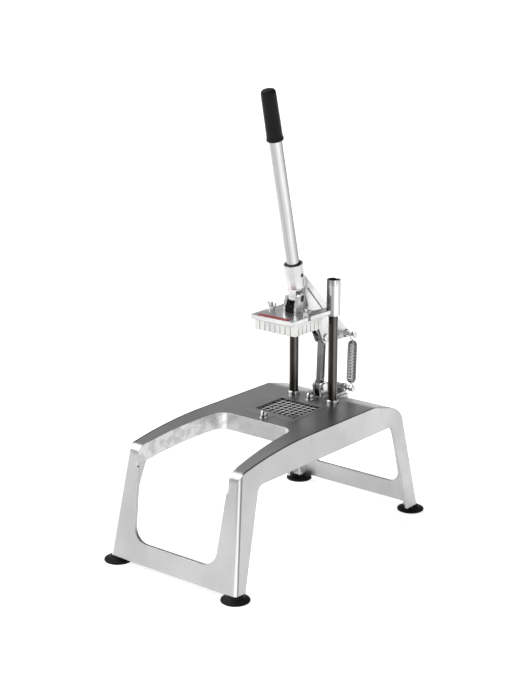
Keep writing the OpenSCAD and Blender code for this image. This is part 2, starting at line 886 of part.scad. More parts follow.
module lever_casting() {
    color(bright) difference() {
        union() {
            handle_line() {
                translate([0, 0, socket_base])
                    cylinder(d1 = socket_d - socket_taper, d2 = socket_d, h = socket_top - socket_base);
            }
            // neck between the hub and the socket
            hull() {
                pin_x(pivot, 2 * hub_r - 1, -hub_t / 2, hub_t / 2);
                handle_line() translate([0, 0, socket_base + 1]) cylinder(d = socket_d - 4, h = 1, $fn = 32);
            }
            pin_x(pivot, 2 * hub_r, -hub_t / 2, hub_t / 2);
            difference() {
                along_x(-web_t / 2, web_t / 2) lever_web();
                for (sx = [-1, 1])
                    along_x(sx > 0 ? panel_x : -far, sx > 0 ? far : -panel_x) web_panel();
            }
            // fork cheeks
            along_x(-ear_x - ear_t, ear_x + ear_t) hull() {
                translate(joint_b) circle(r = boss_b_r, $fn = 32);
                translate([joint_b[0] - 14, slot_top_z + 3]) circle(r = 11, $fn = 32);
            }
            pin_x(joint_d, 2 * boss_d_r, 0, pin_boss_x);
        }
        // cut that frees the neck below the socket, beside the cheeks of the clevis
        handle_frame() for (sx = [-1, 1])
            translate([sx > 0 ? hub_t / 2 : -socket_d - hub_t / 2, -neck_cut, -neck_cut])
                cube([socket_d, 2 * neck_cut, neck_cut + neck_top]);
        pin_x(pivot, pivot_d + 2 * run, -far, far);
        pin_x(joint_b, link_pin_d + 2 * run, -far, far);
        pin_x(joint_d, spring_pin_d, -web_t / 2 - 1, far);
        // slot of the fork
        translate([-ear_x, slot_front_y, joint_b[1] - slot_below])
            cube([2 * ear_x, slot_back_y - slot_front_y, slot_top_z - joint_b[1] + slot_below]);
        // bore and mouth of the socket
        handle_line() {
            translate([0, 0, socket_bore_z]) cylinder(d = tube_d, h = far);
            translate([0, 0, socket_top - ring_h]) cylinder(d = ring_d, h = far);
        }
        handle_line() translate([0, 0, screw_z]) rotate([0, 90, 0]) cylinder(d = screw_d, h = far);
    }
}

module socket_ring() {
    color(black_rubber) handle_line() translate([0, 0, socket_top - ring_h])
        rotate_extrude($fn = 64) polygon([[tube_d / 2, 0], [ring_d / 2, 0], [ring_d / 2, ring_h],
            [ring_d / 2 - 0.6, ring_h + 1], [tube_d / 2, ring_h + 1.4]]);
}

module socket_screw() {
    sunk = 1.2;
    key_d = 3;
    color(dark_steel) handle_line() translate([tube_d / 2, 0, screw_z]) rotate([0, 90, 0]) difference() {
        cylinder(d = screw_d, h = (socket_d - tube_d) / 2 - sunk);
        translate([0, 0, sunk]) cylinder(d = key_d, h = screw_d, $fn = 6);
    }
}

module handle_tube() {
    tube_wall = 1.8;
    color(chrome) handle_line() difference() {
        translate([0, 0, socket_bore_z]) cylinder(d = tube_d, h = handle_top - 3 - socket_bore_z);
        translate([0, 0, socket_bore_z + tube_wall]) cylinder(d = tube_d - 2 * tube_wall, h = handle_top);
    }
}

module handle_grip() {
    r = grip_d / 2;
    z0 = handle_top - grip_l;
    color(black_rubber) handle_line() rotate_extrude($fn = 64)
        polygon([[tube_d / 2, z0], [r + 0.4, z0], [r + 1, z0 + 1], [r + 1.1, z0 + 3.5], [r + 0.6, z0 + 6],
            [r + 0.1, z0 + 9], [r - 0.2, handle_top - 30], [r - 0.6, handle_top - 6],
            for (a = [0 : 15 : 90]) [r - 5.6 + 5 * cos(a), handle_top - 5 + 5 * sin(a)],
            [0, handle_top], [0, handle_top - 3], [tube_d / 2, handle_top - 3]]);
}

// The ends of the joint pin, each seated in its ear of the fork
module lever_ear_pins() {
    reach = ear_x + ear_t;
    color(chrome)
        for (sx = [-1, 1]) {
            pin_x(joint_b, link_pin_d, sx > 0 ? ear_x : -reach, sx > 0 ? reach : -ear_x);
            pin_x(joint_b, pin_head_d, sx > 0 ? reach : -reach - pin_head_t,
                sx > 0 ? reach + pin_head_t : -reach);
        }
}

module spring_lever_pin() {
    color(chrome) spring_stub(joint_d, -web_t / 2);
}

// ---------------------------------------------------------------- link

link_len = norm(joint_b - joint_c);
link_lean = atan2(joint_b[0] - joint_c[0], joint_b[1] - joint_c[1]);

module link_bar() {
    // hollow of both faces: its depth, the rim beside it and its distance from the eyes
    recess = 1.2;
    rim = 2.4;
    ends = 5;
    color([0.6, 0.6, 0.61]) translate([0, joint_c[0], joint_c[1]]) rotate([-link_lean, 0, 0]) difference() {
        union() {
            translate([-link_t / 2, -link_w / 2, 0]) cube([link_t, link_w, link_len]);
            pin_x([0, 0], 2 * eye_r, -link_t / 2, link_t / 2);
            pin_x([0, link_len], 2 * eye_r, -link_t / 2, link_t / 2);
        }
        pin_x([0, 0], link_pin_d + 2 * run, -far, far);
        pin_x([0, link_len], link_pin_d, -far, far);
        for (sx = [-1, 1])
            along_x(sx > 0 ? link_t / 2 - recess : -link_t, sx > 0 ? link_t : -link_t / 2 + recess)
                rounded(3.4) translate([rim - link_w / 2, eye_r + ends])
                    square([link_w - 2 * rim, link_len - 2 * (eye_r + ends)]);
    }
}

module link_joint_pin() {
    color(chrome) pin_x(joint_b, link_pin_d, -link_t / 2, link_t / 2);
}

// ---------------------------------------------------------------- spring

spring_len = norm(joint_d - joint_e);
spring_lean = atan2(joint_d[0] - joint_e[0], joint_d[1] - joint_e[1]);
coil_end = 9.5;
coil_r = (spring_d - wire_d) / 2;
coil_len = spring_len - 2 * coil_end - wire_d;
cone_turns = 2.5;
// Radius of the coil's middle line at its drawn-in ends
cone_r = 3.4;
steps = 8;
hook_r = (spring_pin_d + 1.4 + wire_d) / 2 + 1.3;
// Disc on the shank of each hook, inside the drawn-in end of the coil
plug_d = 4.2;
plug_t = 1.6;

// Moves to the frame of the spring: the lower pin is the origin and Z runs up the spring
module spring_frame() {
    translate([spring_x, joint_e[0], joint_e[1]]) rotate([-spring_lean, 0, 0]) children();
}

// Radius of the coil after a number of turns: both ends draw in to a cone
function coil_radius(t) = let (edge = min(t, turns - t)) edge < cone_turns
    ? cone_r + (coil_r - cone_r) * sin(90 * edge / cone_turns) : coil_r;
coil_points = [for (i = [0 : turns * steps]) let (t = i / steps)
    [coil_radius(t) * cos(360 * t), coil_radius(t) * sin(360 * t),
        coil_end + wire_d / 2 + coil_len * t / turns]];
// Least gap between turns, measured from each point to the points one turn further on
coil_gap = min([for (i = [0 : (turns - 1) * steps - 1], k = [-1 : 1])
    norm(coil_points[i + steps + k] - coil_points[i])]) - wire_d;
echo(least_gap_in_coil = coil_gap);

// One unbroken tube along a list of points
module tube_along(points, d, sides) {
    n = len(points);
    function ahead(i) = points[min(i + 1, n - 1)] - points[max(i - 1, 0)];
    function across(i) = let (v = cross(ahead(i), [0, 0, 1])) v / norm(v);
    function upward(i) = let (v = cross(across(i), ahead(i))) v / norm(v);
    rings = [for (i = [0 : n - 1], s = [0 : sides - 1]) let (a = 360 * s / sides)
        points[i] + d / 2 * (cos(a) * across(i) + sin(a) * upward(i))];
    sides_of = [for (i = [0 : n - 2], s = [0 : sides - 1]) let (q = (s + 1) % sides)
        each [[i * sides + s, (i + 1) * sides + s, (i + 1) * sides + q],
            [i * sides + s, (i + 1) * sides + q, i * sides + q]]];
    polyhedron(rings, concat([[for (s = [0 : sides - 1]) s]], sides_of,
        [[for (s = [sides - 1 : -1 : 0]) (n - 1) * sides + s]]));
}

module return_spring() {
    color([0.62, 0.62, 0.63]) spring_frame() tube_along(coil_points, wire_d, 6);
}

// A wire ring round a pin, its open part given by two angles, with a shank into the coil
module hook(up, a0, a1, lift) {
    z0 = up ? spring_len - lift : lift;
    shank_end = up ? spring_len - coil_end - 2 : coil_end + 2;
    side = up ? -1 : 1;
    color([0.62, 0.62, 0.63]) spring_frame() {
        translate([0, 0, z0]) rotate([90, 0, 90]) rotate([0, 0, a0])
            rotate_extrude(angle = a1 - a0, $fn = 64) translate([hook_r, 0]) circle(d = wire_d, $fn = 24);
        translate([0, 0, min(z0 + side * hook_r, shank_end)])
            cylinder(d = wire_d, h = abs(shank_end - z0 - side * hook_r));
        translate([0, 0, up ? shank_end : shank_end - plug_t]) cylinder(d = plug_d, h = plug_t);
    }
}

hook_lift = hook_r - spring_pin_d / 2 - wire_d / 2 - 0.35;

module spring_hook_lower() {
    hook(false, -240, 90, hook_lift);
}

module spring_hook_upper() {
    hook(true, 90, 270, hook_lift);
}

// ---------------------------------------------------------------- the pieces

base_casting();
suction_foot(-1, -1);  // suction_foot_front_left
suction_foot(1, -1);  // suction_foot_front_right
suction_foot(-1, 1);  // suction_foot_rear_left
suction_foot(1, 1);  // suction_foot_rear_right
foot_studs();
knife_block_frame();
blades_across();
blades_along();
clamp_studs();
clamp_nuts();
column(-1);  // column_left
column(1);  // column_right
column_collar(-1);  // column_collar_left
column_collar(1);  // column_collar_right
column_nuts();
rear_bracket();
bracket_screws();
link_anchor_pin();
spring_anchor_pin();
carriage_plate();
guide_sleeve(-1);  // guide_sleeve_left
guide_sleeve(1);  // guide_sleeve_right
pusher_block();
pusher_studs();
wing_nut(-1);  // wing_nut_left
wing_nut(1);  // wing_nut_right
stop_bumper();
front_band();
lever_pivot_pin();
lever_casting();
handle_tube();
socket_ring();
socket_screw();
handle_grip();
lever_ear_pins();
spring_lever_pin();
link_bar();
link_joint_pin();
return_spring();
spring_hook_lower();
spring_hook_upper();
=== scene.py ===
"""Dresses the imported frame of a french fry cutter: finishes, rounded castings and detailed small pieces."""

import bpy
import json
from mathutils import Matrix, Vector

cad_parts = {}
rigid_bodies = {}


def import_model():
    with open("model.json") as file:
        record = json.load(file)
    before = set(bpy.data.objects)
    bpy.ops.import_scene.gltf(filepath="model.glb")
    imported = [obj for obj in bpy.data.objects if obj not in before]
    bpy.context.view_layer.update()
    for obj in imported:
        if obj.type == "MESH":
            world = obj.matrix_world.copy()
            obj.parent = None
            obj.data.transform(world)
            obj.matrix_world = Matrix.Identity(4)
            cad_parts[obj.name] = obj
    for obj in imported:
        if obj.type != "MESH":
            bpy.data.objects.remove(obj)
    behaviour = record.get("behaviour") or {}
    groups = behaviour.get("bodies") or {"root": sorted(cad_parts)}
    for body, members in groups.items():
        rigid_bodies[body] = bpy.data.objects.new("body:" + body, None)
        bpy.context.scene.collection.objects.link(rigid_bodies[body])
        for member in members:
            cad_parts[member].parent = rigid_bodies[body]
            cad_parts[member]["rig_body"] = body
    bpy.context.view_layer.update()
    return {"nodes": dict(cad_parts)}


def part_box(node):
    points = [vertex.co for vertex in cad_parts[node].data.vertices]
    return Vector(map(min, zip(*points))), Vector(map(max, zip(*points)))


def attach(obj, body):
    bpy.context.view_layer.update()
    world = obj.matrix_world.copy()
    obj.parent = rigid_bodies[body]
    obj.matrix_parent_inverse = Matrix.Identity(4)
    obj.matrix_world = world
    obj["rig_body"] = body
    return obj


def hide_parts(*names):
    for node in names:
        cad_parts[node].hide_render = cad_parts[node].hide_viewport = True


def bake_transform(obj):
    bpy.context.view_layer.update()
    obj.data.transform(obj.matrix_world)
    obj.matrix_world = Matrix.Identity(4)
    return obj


bl_info = {
    "name": "French Fry Cutter",
    "version": (1, 0, 0),
    "blender": (4, 5, 0),
    "location": "View3D > Sidebar > Fry Cutter",
    "description": "Finishes and detailed pieces of a lever operated french fry cutter",
    "category": "Object",
}

import json
import math

import bpy
from mathutils import Matrix, Vector

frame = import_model()

# Radii, whose names end in _R, and the sizes marked so are in mm, the other lengths in metres.
MM = 0.001
PIVOT = Vector((0, 63, 377)) * MM  # lever pivot at rest
JOINT_D = Vector((18, 193, 292)) * MM  # upper spring pin
JOINT_E = Vector((18, 190, 200)) * MM  # lower spring pin
LEAN = math.radians(13)  # lean of the handle to the front
HANDLE_BACK = 5.5 * MM  # handle's middle line behind the pivot
CROWN_Z = 0.2  # height of the level part of the top
TOP_HALF_W = 0.108  # half the width of the top at that height
WALL_LEAN = 18 / 191  # widening of a side wall for each metre down
THROAT_HALF_W = 0.0925  # faces nearer to the middle plane than this are inside the throat
CELL = 10.0  # pitch of the blades, mm
FIELD_CELLS = (8, 7)  # cells of the knife grid, across and along
FIELD_Y = 45  # middle of the knife grid, mm
FINGER_WIDTHS = (9.3, 8.6)  # width of a pusher finger at its root and at its end, mm
BLADE_T = 0.8  # thickness of a blade, mm
BLADE_GRIND = 1.4  # height of the ground part of a blade, mm
BLADE_LAND = 0.25  # share of the thickness that is left at the edge
BLADE_EDGE_Z = 0.1980  # height at which the ground edges of the blades begin
CLAMP_Y = (-17, 101)  # places of the clamp nuts, mm
COLUMN_X = 39  # half the distance of the columns, mm
COLUMN_Y = 110  # place of the columns, mm
COLUMN_R = 7.5
THREAD_R = 5  # thread at the lower end of a column
SLEEVE_R = 11.3
SLEEVE_BORE_R = 7.55
# painted shade: inside this radius the mouth at the top of a sleeve is painted nearly black
SHADED_MOUTH_R = 9.3  # dark mouth at the top of a sleeve
TUBE_R = 10.2
TUBE_BORE_R = 8.4
TUBE_ENDS = (24, 334)  # ends of the handle tube, from the pivot along the handle, mm
GRIP_ENDS = (257.5, 337)  # ends of the grip, in the same way, mm


# ---------- settings


class FryCutterSizes(bpy.types.PropertyGroup):
    small_edge: bpy.props.FloatProperty(
        name="Small edge", description="Radius on the edges of the castings above the base", default=0.9 * MM,
        unit="LENGTH")
    fine_edge: bpy.props.FloatProperty(
        name="Fine edge", description="Radius on the edges of screws and wing nuts", default=0.35 * MM,
        unit="LENGTH")
    wire: bpy.props.FloatProperty(
        name="Spring wire", description="Diameter of the spring wire", default=2 * MM, unit="LENGTH")
    turns: bpy.props.IntProperty(name="Turns", description="Number of turns of the spring", default=28, min=4)
    floor_size: bpy.props.FloatProperty(
        name="Floor", description="Side of the studio floor", default=120.0, unit="LENGTH")


class FryCutterColours(bpy.types.PropertyGroup):
    # painted reflection: the top is painted darker than the sides, which are the same cast metal
    side: bpy.props.FloatVectorProperty(
        name="Cast side", description="Polished sides of the base", default=(0.50, 0.50, 0.503),
        subtype="COLOR", size=3)
    top: bpy.props.FloatVectorProperty(
        name="Cast top", description="Satin top of the base", default=(0.35, 0.353, 0.358),
        subtype="COLOR", size=3)
    bright: bpy.props.FloatVectorProperty(
        name="Bright casting", description="Carriage and lever", default=(0.66, 0.66, 0.66),
        subtype="COLOR", size=3)
    chrome: bpy.props.FloatVectorProperty(
        name="Plating", description="Plated small pieces", default=(0.80, 0.80, 0.81),
        subtype="COLOR", size=3)
    rubber: bpy.props.FloatVectorProperty(
        name="Rubber", description="Feet, stop block and ring", default=(0.006, 0.006, 0.0065),
        subtype="COLOR", size=3)
    grip: bpy.props.FloatVectorProperty(
        name="Grip", description="Moulded grip", default=(0.007, 0.007, 0.0075),
        subtype="COLOR", size=3)
    band: bpy.props.FloatVectorProperty(
        name="Band", description="Plain band on the carriage", default=(0.33, 0.018, 0.018),
        subtype="COLOR", size=3)


def sizes():
    return bpy.context.scene.fry_cutter_sizes


def colours():
    return bpy.context.scene.fry_cutter_colours


# ---------- nodes


def feed(tree, socket, value):
    """Links a socket to another node's output, or gives it a plain value."""
    if hasattr(value, "links"):
        tree.links.new(value, socket)
    else:
        socket.default_value = value


def math_node(tree, operation, *values):
    node = tree.nodes.new("ShaderNodeMath")
    node.operation = operation
    for socket, value in zip(node.inputs, values):
        feed(tree, socket, value)
    return node.outputs[0]


def times(tree, first, *others):
    for other in others:
        first = math_node(tree, "MULTIPLY", first, other)
    return first


def plus(tree, first, second):
    return math_node(tree, "ADD", first, second)


def size_of(tree, value):
    return math_node(tree, "ABSOLUTE", value)


def vector_node(tree, operation, first, second):
    node = tree.nodes.new("ShaderNodeVectorMath")
    node.operation = operation
    feed(tree, node.inputs[0], first)
    feed(tree, node.inputs[1], second)
    return node


def axes(tree, vector):
    """The three parts of a vector, by the names X, Y and Z."""
    node = tree.nodes.new("ShaderNodeSeparateXYZ")
    tree.links.new(vector, node.inputs[0])
    return node.outputs


def true_normal(tree):
    return tree.nodes.new("ShaderNodeNewGeometry").outputs["Normal"]


def remap(tree, value, low, high, to_low=0.0, to_high=1.0):
    """A smooth step from one range to another."""
    node = tree.nodes.new("ShaderNodeMapRange")
    node.interpolation_type = "SMOOTHSTEP"
    for socket, each in zip(node.inputs, (value, low, high, to_low, to_high)):
        feed(tree, socket, each)
    return node.outputs["Result"]


def mix_colour(tree, share, first, second):
    """A blend of two colours, each a tuple or another node's output."""
    node = tree.nodes.new("ShaderNodeMix")
    node.data_type = "RGBA"
    feed(tree, node.inputs[0], share)
    for socket, value in ((node.inputs[6], first), (node.inputs[7], second)):
        feed(tree, socket, (*value, 1) if isinstance(value, tuple) else value)
    return node.outputs[2]


def tone_ramp(tree, share, stops):
    """A ramp through stops of (position, colour)."""
    node = tree.nodes.new("ShaderNodeValToRGB")
    tree.links.new(share, node.inputs["Fac"])
    while len(node.color_ramp.elements) < len(stops):
        node.color_ramp.elements.new(0.5)
    for stop, (position, colour) in zip(node.color_ramp.elements, stops):
        stop.position = position
        stop.color = (*colour, 1)
    return node.outputs["Color"]


def noise(tree, place, scale, detail=2.0, rough=0.5):
    node = tree.nodes.new("ShaderNodeTexNoise")
    tree.links.new(place, node.inputs["Vector"])
    feed(tree, node.inputs["Scale"], scale)
    node.inputs["Detail"].default_value = detail
    node.inputs["Roughness"].default_value = rough
    return node.outputs["Fac"]


def stretched(tree, place, scale, turn=(0, 0, 0)):
    node = tree.nodes.new("ShaderNodeMapping")
    node.vector_type = "TEXTURE"
    tree.links.new(place, node.inputs["Vector"])
    node.inputs["Rotation"].default_value = turn
    node.inputs["Scale"].default_value = scale
    return node.outputs["Vector"]


# ---------- node groups


def new_group(name, inputs, outputs):
    """A shader group with its sockets, and its two end nodes."""
    group = bpy.data.node_groups.new(name, "ShaderNodeTree")
    for label, kind, value in inputs:
        socket = group.interface.new_socket(label, in_out="INPUT", socket_type=kind)
        if value is not None:
            socket.default_value = value
    for label, kind in outputs:
        group.interface.new_socket(label, in_out="OUTPUT", socket_type=kind)
    return group, group.nodes.new("NodeGroupInput"), group.nodes.new("NodeGroupOutput")


def worked_metal_group(name):
    """Clouds, fine grain and sparse marks of a worked metal surface, as masks."""
    group, start, end = new_group(
        name,
        [("Vector", "NodeSocketVector", None), ("Cloud Scale", "NodeSocketFloat", 12.0),
         ("Grain Scale", "NodeSocketFloat", 400.0), ("Mark Scale", "NodeSocketFloat", 60.0)],
        [("Clouds", "NodeSocketFloat"), ("Grain", "NodeSocketFloat"), ("Marks", "NodeSocketFloat")])
    place = start.outputs["Vector"]
    clouds = remap(group, noise(group, place, start.outputs["Cloud Scale"], 3.0, 0.55), 0.3, 0.7)
    grain = noise(group, place, start.outputs["Grain Scale"], 2.0, 0.6)
    streak = noise(group, stretched(group, place, (0.25, 3.0, 1.0), (0.4, 0.2, 0.7)),
                   start.outputs["Mark Scale"], 4.0, 0.7)
    group.links.new(clouds, end.inputs["Clouds"])
    group.links.new(grain, end.inputs["Grain"])
    group.links.new(remap(group, streak, 0.56, 0.72), end.inputs["Marks"])
    return group


def round_angle_group(name):
    """A point's angle round a bar's own axis, from 0 to 1 on each half of the bar, and its radius."""
    group, start, end = new_group(
        name,
        [("Vector", "NodeSocketVector", None), ("Centre", "NodeSocketVector", (0, 0, 0)),
         ("Start Angle", "NodeSocketFloat", 0.0)],
        [("Share", "NodeSocketFloat"), ("Radius", "NodeSocketFloat")])
    away = vector_node(group, "SUBTRACT", start.outputs["Vector"], start.outputs["Centre"])
    at = axes(group, away.outputs[0])
    turn = math_node(group, "ARCTAN2", at["Y"], at["X"])
    from_start = math_node(group, "SUBTRACT", turn, start.outputs["Start Angle"])
    apart = size_of(group, math_node(group, "WRAP", from_start, math.pi, -math.pi))
    group.links.new(math_node(group, "DIVIDE", apart, math.pi), end.inputs["Share"])
    square = plus(group, times(group, at["X"], at["X"]), times(group, at["Y"], at["Y"]))
    group.links.new(math_node(group, "SQRT", square), end.inputs["Radius"])
    return group


def edge_line_group(name):
    """A normal that is rounded at the edges, and a mask that is 1 along the edges and 0 on the faces."""
    group, start, end = new_group(
        name,
        [("Radius", "NodeSocketFloat", 0.0015)],
        [("Mask", "NodeSocketFloat"), ("Normal", "NodeSocketVector")])
    soft = group.nodes.new("ShaderNodeBevel")
    soft.samples = 6
    group.links.new(start.outputs["Radius"], soft.inputs["Radius"])
    along = vector_node(group, "DOT_PRODUCT", soft.outputs[0], true_normal(group))
    lean = math_node(group, "SUBTRACT", 1.0, along.outputs["Value"])
    group.links.new(remap(group, lean, 0.015, 0.16), end.inputs["Mask"])
    group.links.new(soft.outputs[0], end.inputs["Normal"])
    return group


GROUPS = {
    "Worked Metal": worked_metal_group,
    "Round Angle": round_angle_group,
    "Edge Line": edge_line_group,
}


def use_group(tree, name, **values):
    """A node of a shared group, which is made at its first use."""
    node = tree.nodes.new("ShaderNodeGroup")
    node.node_tree = bpy.data.node_groups.get(name) or GROUPS[name](name)
    for label, value in values.items():
        feed(tree, node.inputs[label.replace("_", " ")], value)
    return node


# ---------- materials


FINISH = "finish_"  # keeps the names of the finishes apart from those of the frame's own materials
MIRROR = (0.08, 0.16)  # roughness of chrome


def once(make):
    """Hands out a finish that is there already, and makes it otherwise."""

    def ask(name, *values, **named):
        return bpy.data.materials.get(FINISH + name) or make(name, *values, **named)

    return ask


def blank_material(name, metallic=0.0):
    """A material with only its shader, and its tree, shader and object coordinates."""
    material = bpy.data.materials.new(FINISH + name)
    material.use_nodes = True
    tree = material.node_tree
    tree.nodes.clear()
    shader = tree.nodes.new("ShaderNodeBsdfPrincipled")
    shader.inputs["Metallic"].default_value = metallic
    out = tree.nodes.new("ShaderNodeOutputMaterial")
    tree.links.new(shader.outputs[0], out.inputs["Surface"])
    return material, tree, shader, tree.nodes.new("ShaderNodeTexCoord").outputs["Object"]


def paint(tree, shader, tone, rough):
    tree.links.new(tone, shader.inputs["Base Color"])
    tree.links.new(rough, shader.inputs["Roughness"])


def bump(tree, shader, height, strength, distance, normal=None):
    node = tree.nodes.new("ShaderNodeBump")
    node.inputs["Strength"].default_value = strength
    node.inputs["Distance"].default_value = distance
    tree.links.new(height, node.inputs["Height"])
    if normal:
        tree.links.new(normal, node.inputs["Normal"])
    tree.links.new(node.outputs[0], shader.inputs["Normal"])


def shade(colour, factor):
    return tuple(min(1.0, c * factor) for c in colour)


def grey(level):
    return (level, level, level)


@once
def worked_metal(name, dark, light, rough, cloud, grain, mark, relief, marks, edge=(0.6 * MM, 0.35),
                 underside_shade=0.0):
    """A metal whose tone and roughness drift in clouds, with grain, sparse marks and painted shade along its
    edges.

    cloud, grain and mark are scales; edge is (radius, depth) of the painted shade line along the edges;
    underside_shade is how much faces turned down are painted darker, as painted shade."""
    material, tree, shader, place = blank_material(name, 1.0)
    surface = use_group(tree, "Worked Metal", Vector=place, Cloud_Scale=cloud, Grain_Scale=grain,
                        Mark_Scale=mark)
    clouds, fine, sparse = (surface.outputs[mask] for mask in ("Clouds", "Grain", "Marks"))
    share = plus(tree, times(tree, clouds, 0.7), times(tree, fine, 0.3))
    tone = mix_colour(tree, times(tree, sparse, marks), mix_colour(tree, share, dark, light), dark)
    # painted shade: a dark line painted along the edges
    radius, depth = edge
    line = use_group(tree, "Edge Line", Radius=radius)
    painted_shade_tone = shade(dark, 0.3)
    tone = mix_colour(tree, times(tree, line.outputs["Mask"], depth), tone, painted_shade_tone)
    # painted shade: faces turned down are painted darker
    if underside_shade:
        below = remap(tree, axes(tree, true_normal(tree))["Z"], -0.3, -0.5)
        tone = mix_colour(tree, times(tree, below, underside_shade), tone, painted_shade_tone)
    paint(tree, shader, tone, remap(tree, clouds, 0.0, 1.0, rough[1], rough[0]))
    bump(tree, shader, plus(tree, fine, times(tree, sparse, 0.5)), 0.25, relief, line.outputs["Normal"])
    return material


@once
def cast_base(name):
    """Base casting: polished sides, a top painted darker as painted reflection, painted highlights and
    reflections at its edges and corners, and the rough as-cast inner faces of the throat.
    """
    material, tree, shader, place = blank_material(name, 1.0)
    side, top, glint = colours().side, colours().top, grey(0.86)
    surface = use_group(tree, "Worked Metal", Vector=place, Cloud_Scale=9.0, Grain_Scale=500.0,
                        Mark_Scale=30.0)
    clouds, grain, marks = (surface.outputs[mask] for mask in ("Clouds", "Grain", "Marks"))
    line = use_group(tree, "Edge Line", Radius=1.8 * MM)
    facing = axes(tree, true_normal(tree))
    soft = axes(tree, line.outputs["Normal"])
    at = axes(tree, place)
    upward = remap(tree, facing["Z"], 0.8, 0.95)
    high = remap(tree, at["Z"], 0.150, 0.165)
    on_top = times(tree, upward, high)
    # painted reflection: the top is painted darker than the sides, and paler towards the back and on the arms
    # beside the throat
    top_tone = mix_colour(tree, clouds, shade(top, 0.93), shade(top, 1.06))
    top_tone = mix_colour(tree, remap(tree, at["Y"], 0.125, 0.20), top_tone, shade(top, 1.5))
    top_tone = mix_colour(tree, remap(tree, at["Y"], -0.06, -0.16), top_tone, shade(top, 1.25))
    # polished sides with faint upright grinding lines
    ground = noise(tree, stretched(tree, place, (0.6, 0.6, 14.0)), 260.0, 3.0, 0.6)
    side_share = plus(tree, times(tree, clouds, 0.6), times(tree, ground, 0.4))
    side_tone = mix_colour(tree, side_share, shade(side, 0.9), shade(side, 1.08))
    tone = mix_colour(tree, on_top, side_tone, top_tone)
    tone = mix_colour(tree, times(tree, marks, 0.14), tone, shade(side, 0.55))
    # painted reflection: a dark line along the top, just inside its long edges
    drop = math_node(tree, "SUBTRACT", CROWN_Z, at["Z"])
    half_width = math_node(tree, "MULTIPLY_ADD", drop, WALL_LEAN, TOP_HALF_W)
    rim = math_node(tree, "SUBTRACT", half_width, size_of(tree, at["X"]))
    edge_reflection_line = times(tree, remap(tree, rim, 3.2 * MM, 2.0 * MM), on_top)
    tone = mix_colour(tree, times(tree, edge_reflection_line, 0.92), tone, shade(top, 0.05))
    # painted highlight and painted dark reflection in bands round the upright corners
    across = size_of(tree, soft["X"])
    upright = times(tree, remap(tree, size_of(tree, soft["Y"]), 0.15, 0.25),
                    remap(tree, size_of(tree, soft["Z"]), 0.5, 0.35))
    shine = times(tree, remap(tree, across, 0.15, 0.4), remap(tree, across, 0.8, 0.7))
    tone = mix_colour(tree, times(tree, shine, upright), tone, glint)
    dark_reflection_band = times(tree, remap(tree, across, 0.78, 0.86), remap(tree, across, 0.975, 0.95))
    tone = mix_colour(tree, times(tree, dark_reflection_band, upright, 0.75), tone, shade(side, 0.25))
    # inside the throat: the inner faces painted paler as painted highlight, with a mottled as-cast skin
    inner = math_node(tree, "LESS_THAN", size_of(tree, at["X"]), THROAT_HALF_W)
    front = remap(tree, at["Y"], -0.04, -0.03, 1.0, 0.0)
    inside = times(tree, inner, front, math_node(tree, "SUBTRACT", 1.0, upward), high)
    patches = remap(tree, noise(tree, place, 70.0, 4.0, 0.65), 0.46, 0.6)
    skin = times(tree, inside, patches)
    tone = mix_colour(tree, times(tree, inside, 0.4), tone, glint)
    tone = mix_colour(tree, times(tree, skin, 0.4), tone, shade(side, 0.5))
    rough = plus(tree, remap(tree, clouds, 0.0, 1.0, 0.36, 0.28), times(tree, grain, 0.06))
    paint(tree, shader, tone, rough)
    height = plus(tree, plus(tree, grain, ground), times(tree, skin, 4.0))
    bump(tree, shader, height, 0.22, 0.0001, line.outputs["Normal"])
    return material


# painted shade: the last values of each finish are the dark line painted along the edges, as (radius, depth),
# and how much faces turned down are painted darker
def bright_casting():
    c = colours().bright
    return worked_metal("bright_casting", shade(c, 0.88), shade(c, 1.08), (0.24, 0.36), 25.0, 600.0, 70.0,
                        0.00008, 0.3, (1.6 * MM, 0.75), 0.6)


def pusher_casting():
    c = (0.70, 0.70, 0.69)
    return worked_metal("pusher_casting", shade(c, 0.93), shade(c, 1.05), (0.4, 0.52), 30.0, 700.0, 80.0,
                        0.0001, 0.15, (0.5 * MM, 0.0))


def plated_steel():
    c = colours().chrome
    return worked_metal("plated_steel", shade(c, 0.55), shade(c, 1.0), (0.1, 0.2), 90.0, 900.0, 150.0,
                        0.00003, 0.3, (0.9 * MM, 0.85), 0.5)


# painted shade: where an entry gives them, its last values are the dark line painted along the edges, as
# (radius, depth), and how much faces turned down are painted darker
METALS = {  # what worked_metal takes after the name
    "bracket_casting": (grey(0.24), grey(0.62), (0.2, 0.34), 75.0, 600.0, 90.0, 0.0001, 0.4,
                        (1.4 * MM, 0.8), 0.6),
    "block_metal": ((0.34, 0.34, 0.345), (0.42, 0.42, 0.425), (0.34, 0.46), 30.0, 700.0, 90.0, 0.00008,
                    0.3),
    "link_casting": ((0.145, 0.145, 0.147), (0.19, 0.19, 0.193), (0.32, 0.44), 30.0, 600.0, 90.0, 0.0001,
                     0.3, (0.8 * MM, 0.3)),
    "spring_wire": ((0.4, 0.4, 0.405), (0.62, 0.62, 0.625), (0.2, 0.32), 80.0, 900.0, 120.0, 0.00004, 0.35),
    "dark_pin": (grey(0.06), grey(0.1), (0.35, 0.45), 60.0, 800.0, 150.0, 0.00005, 0.3),
}


def metal(name):
    return worked_metal(name, *METALS[name])


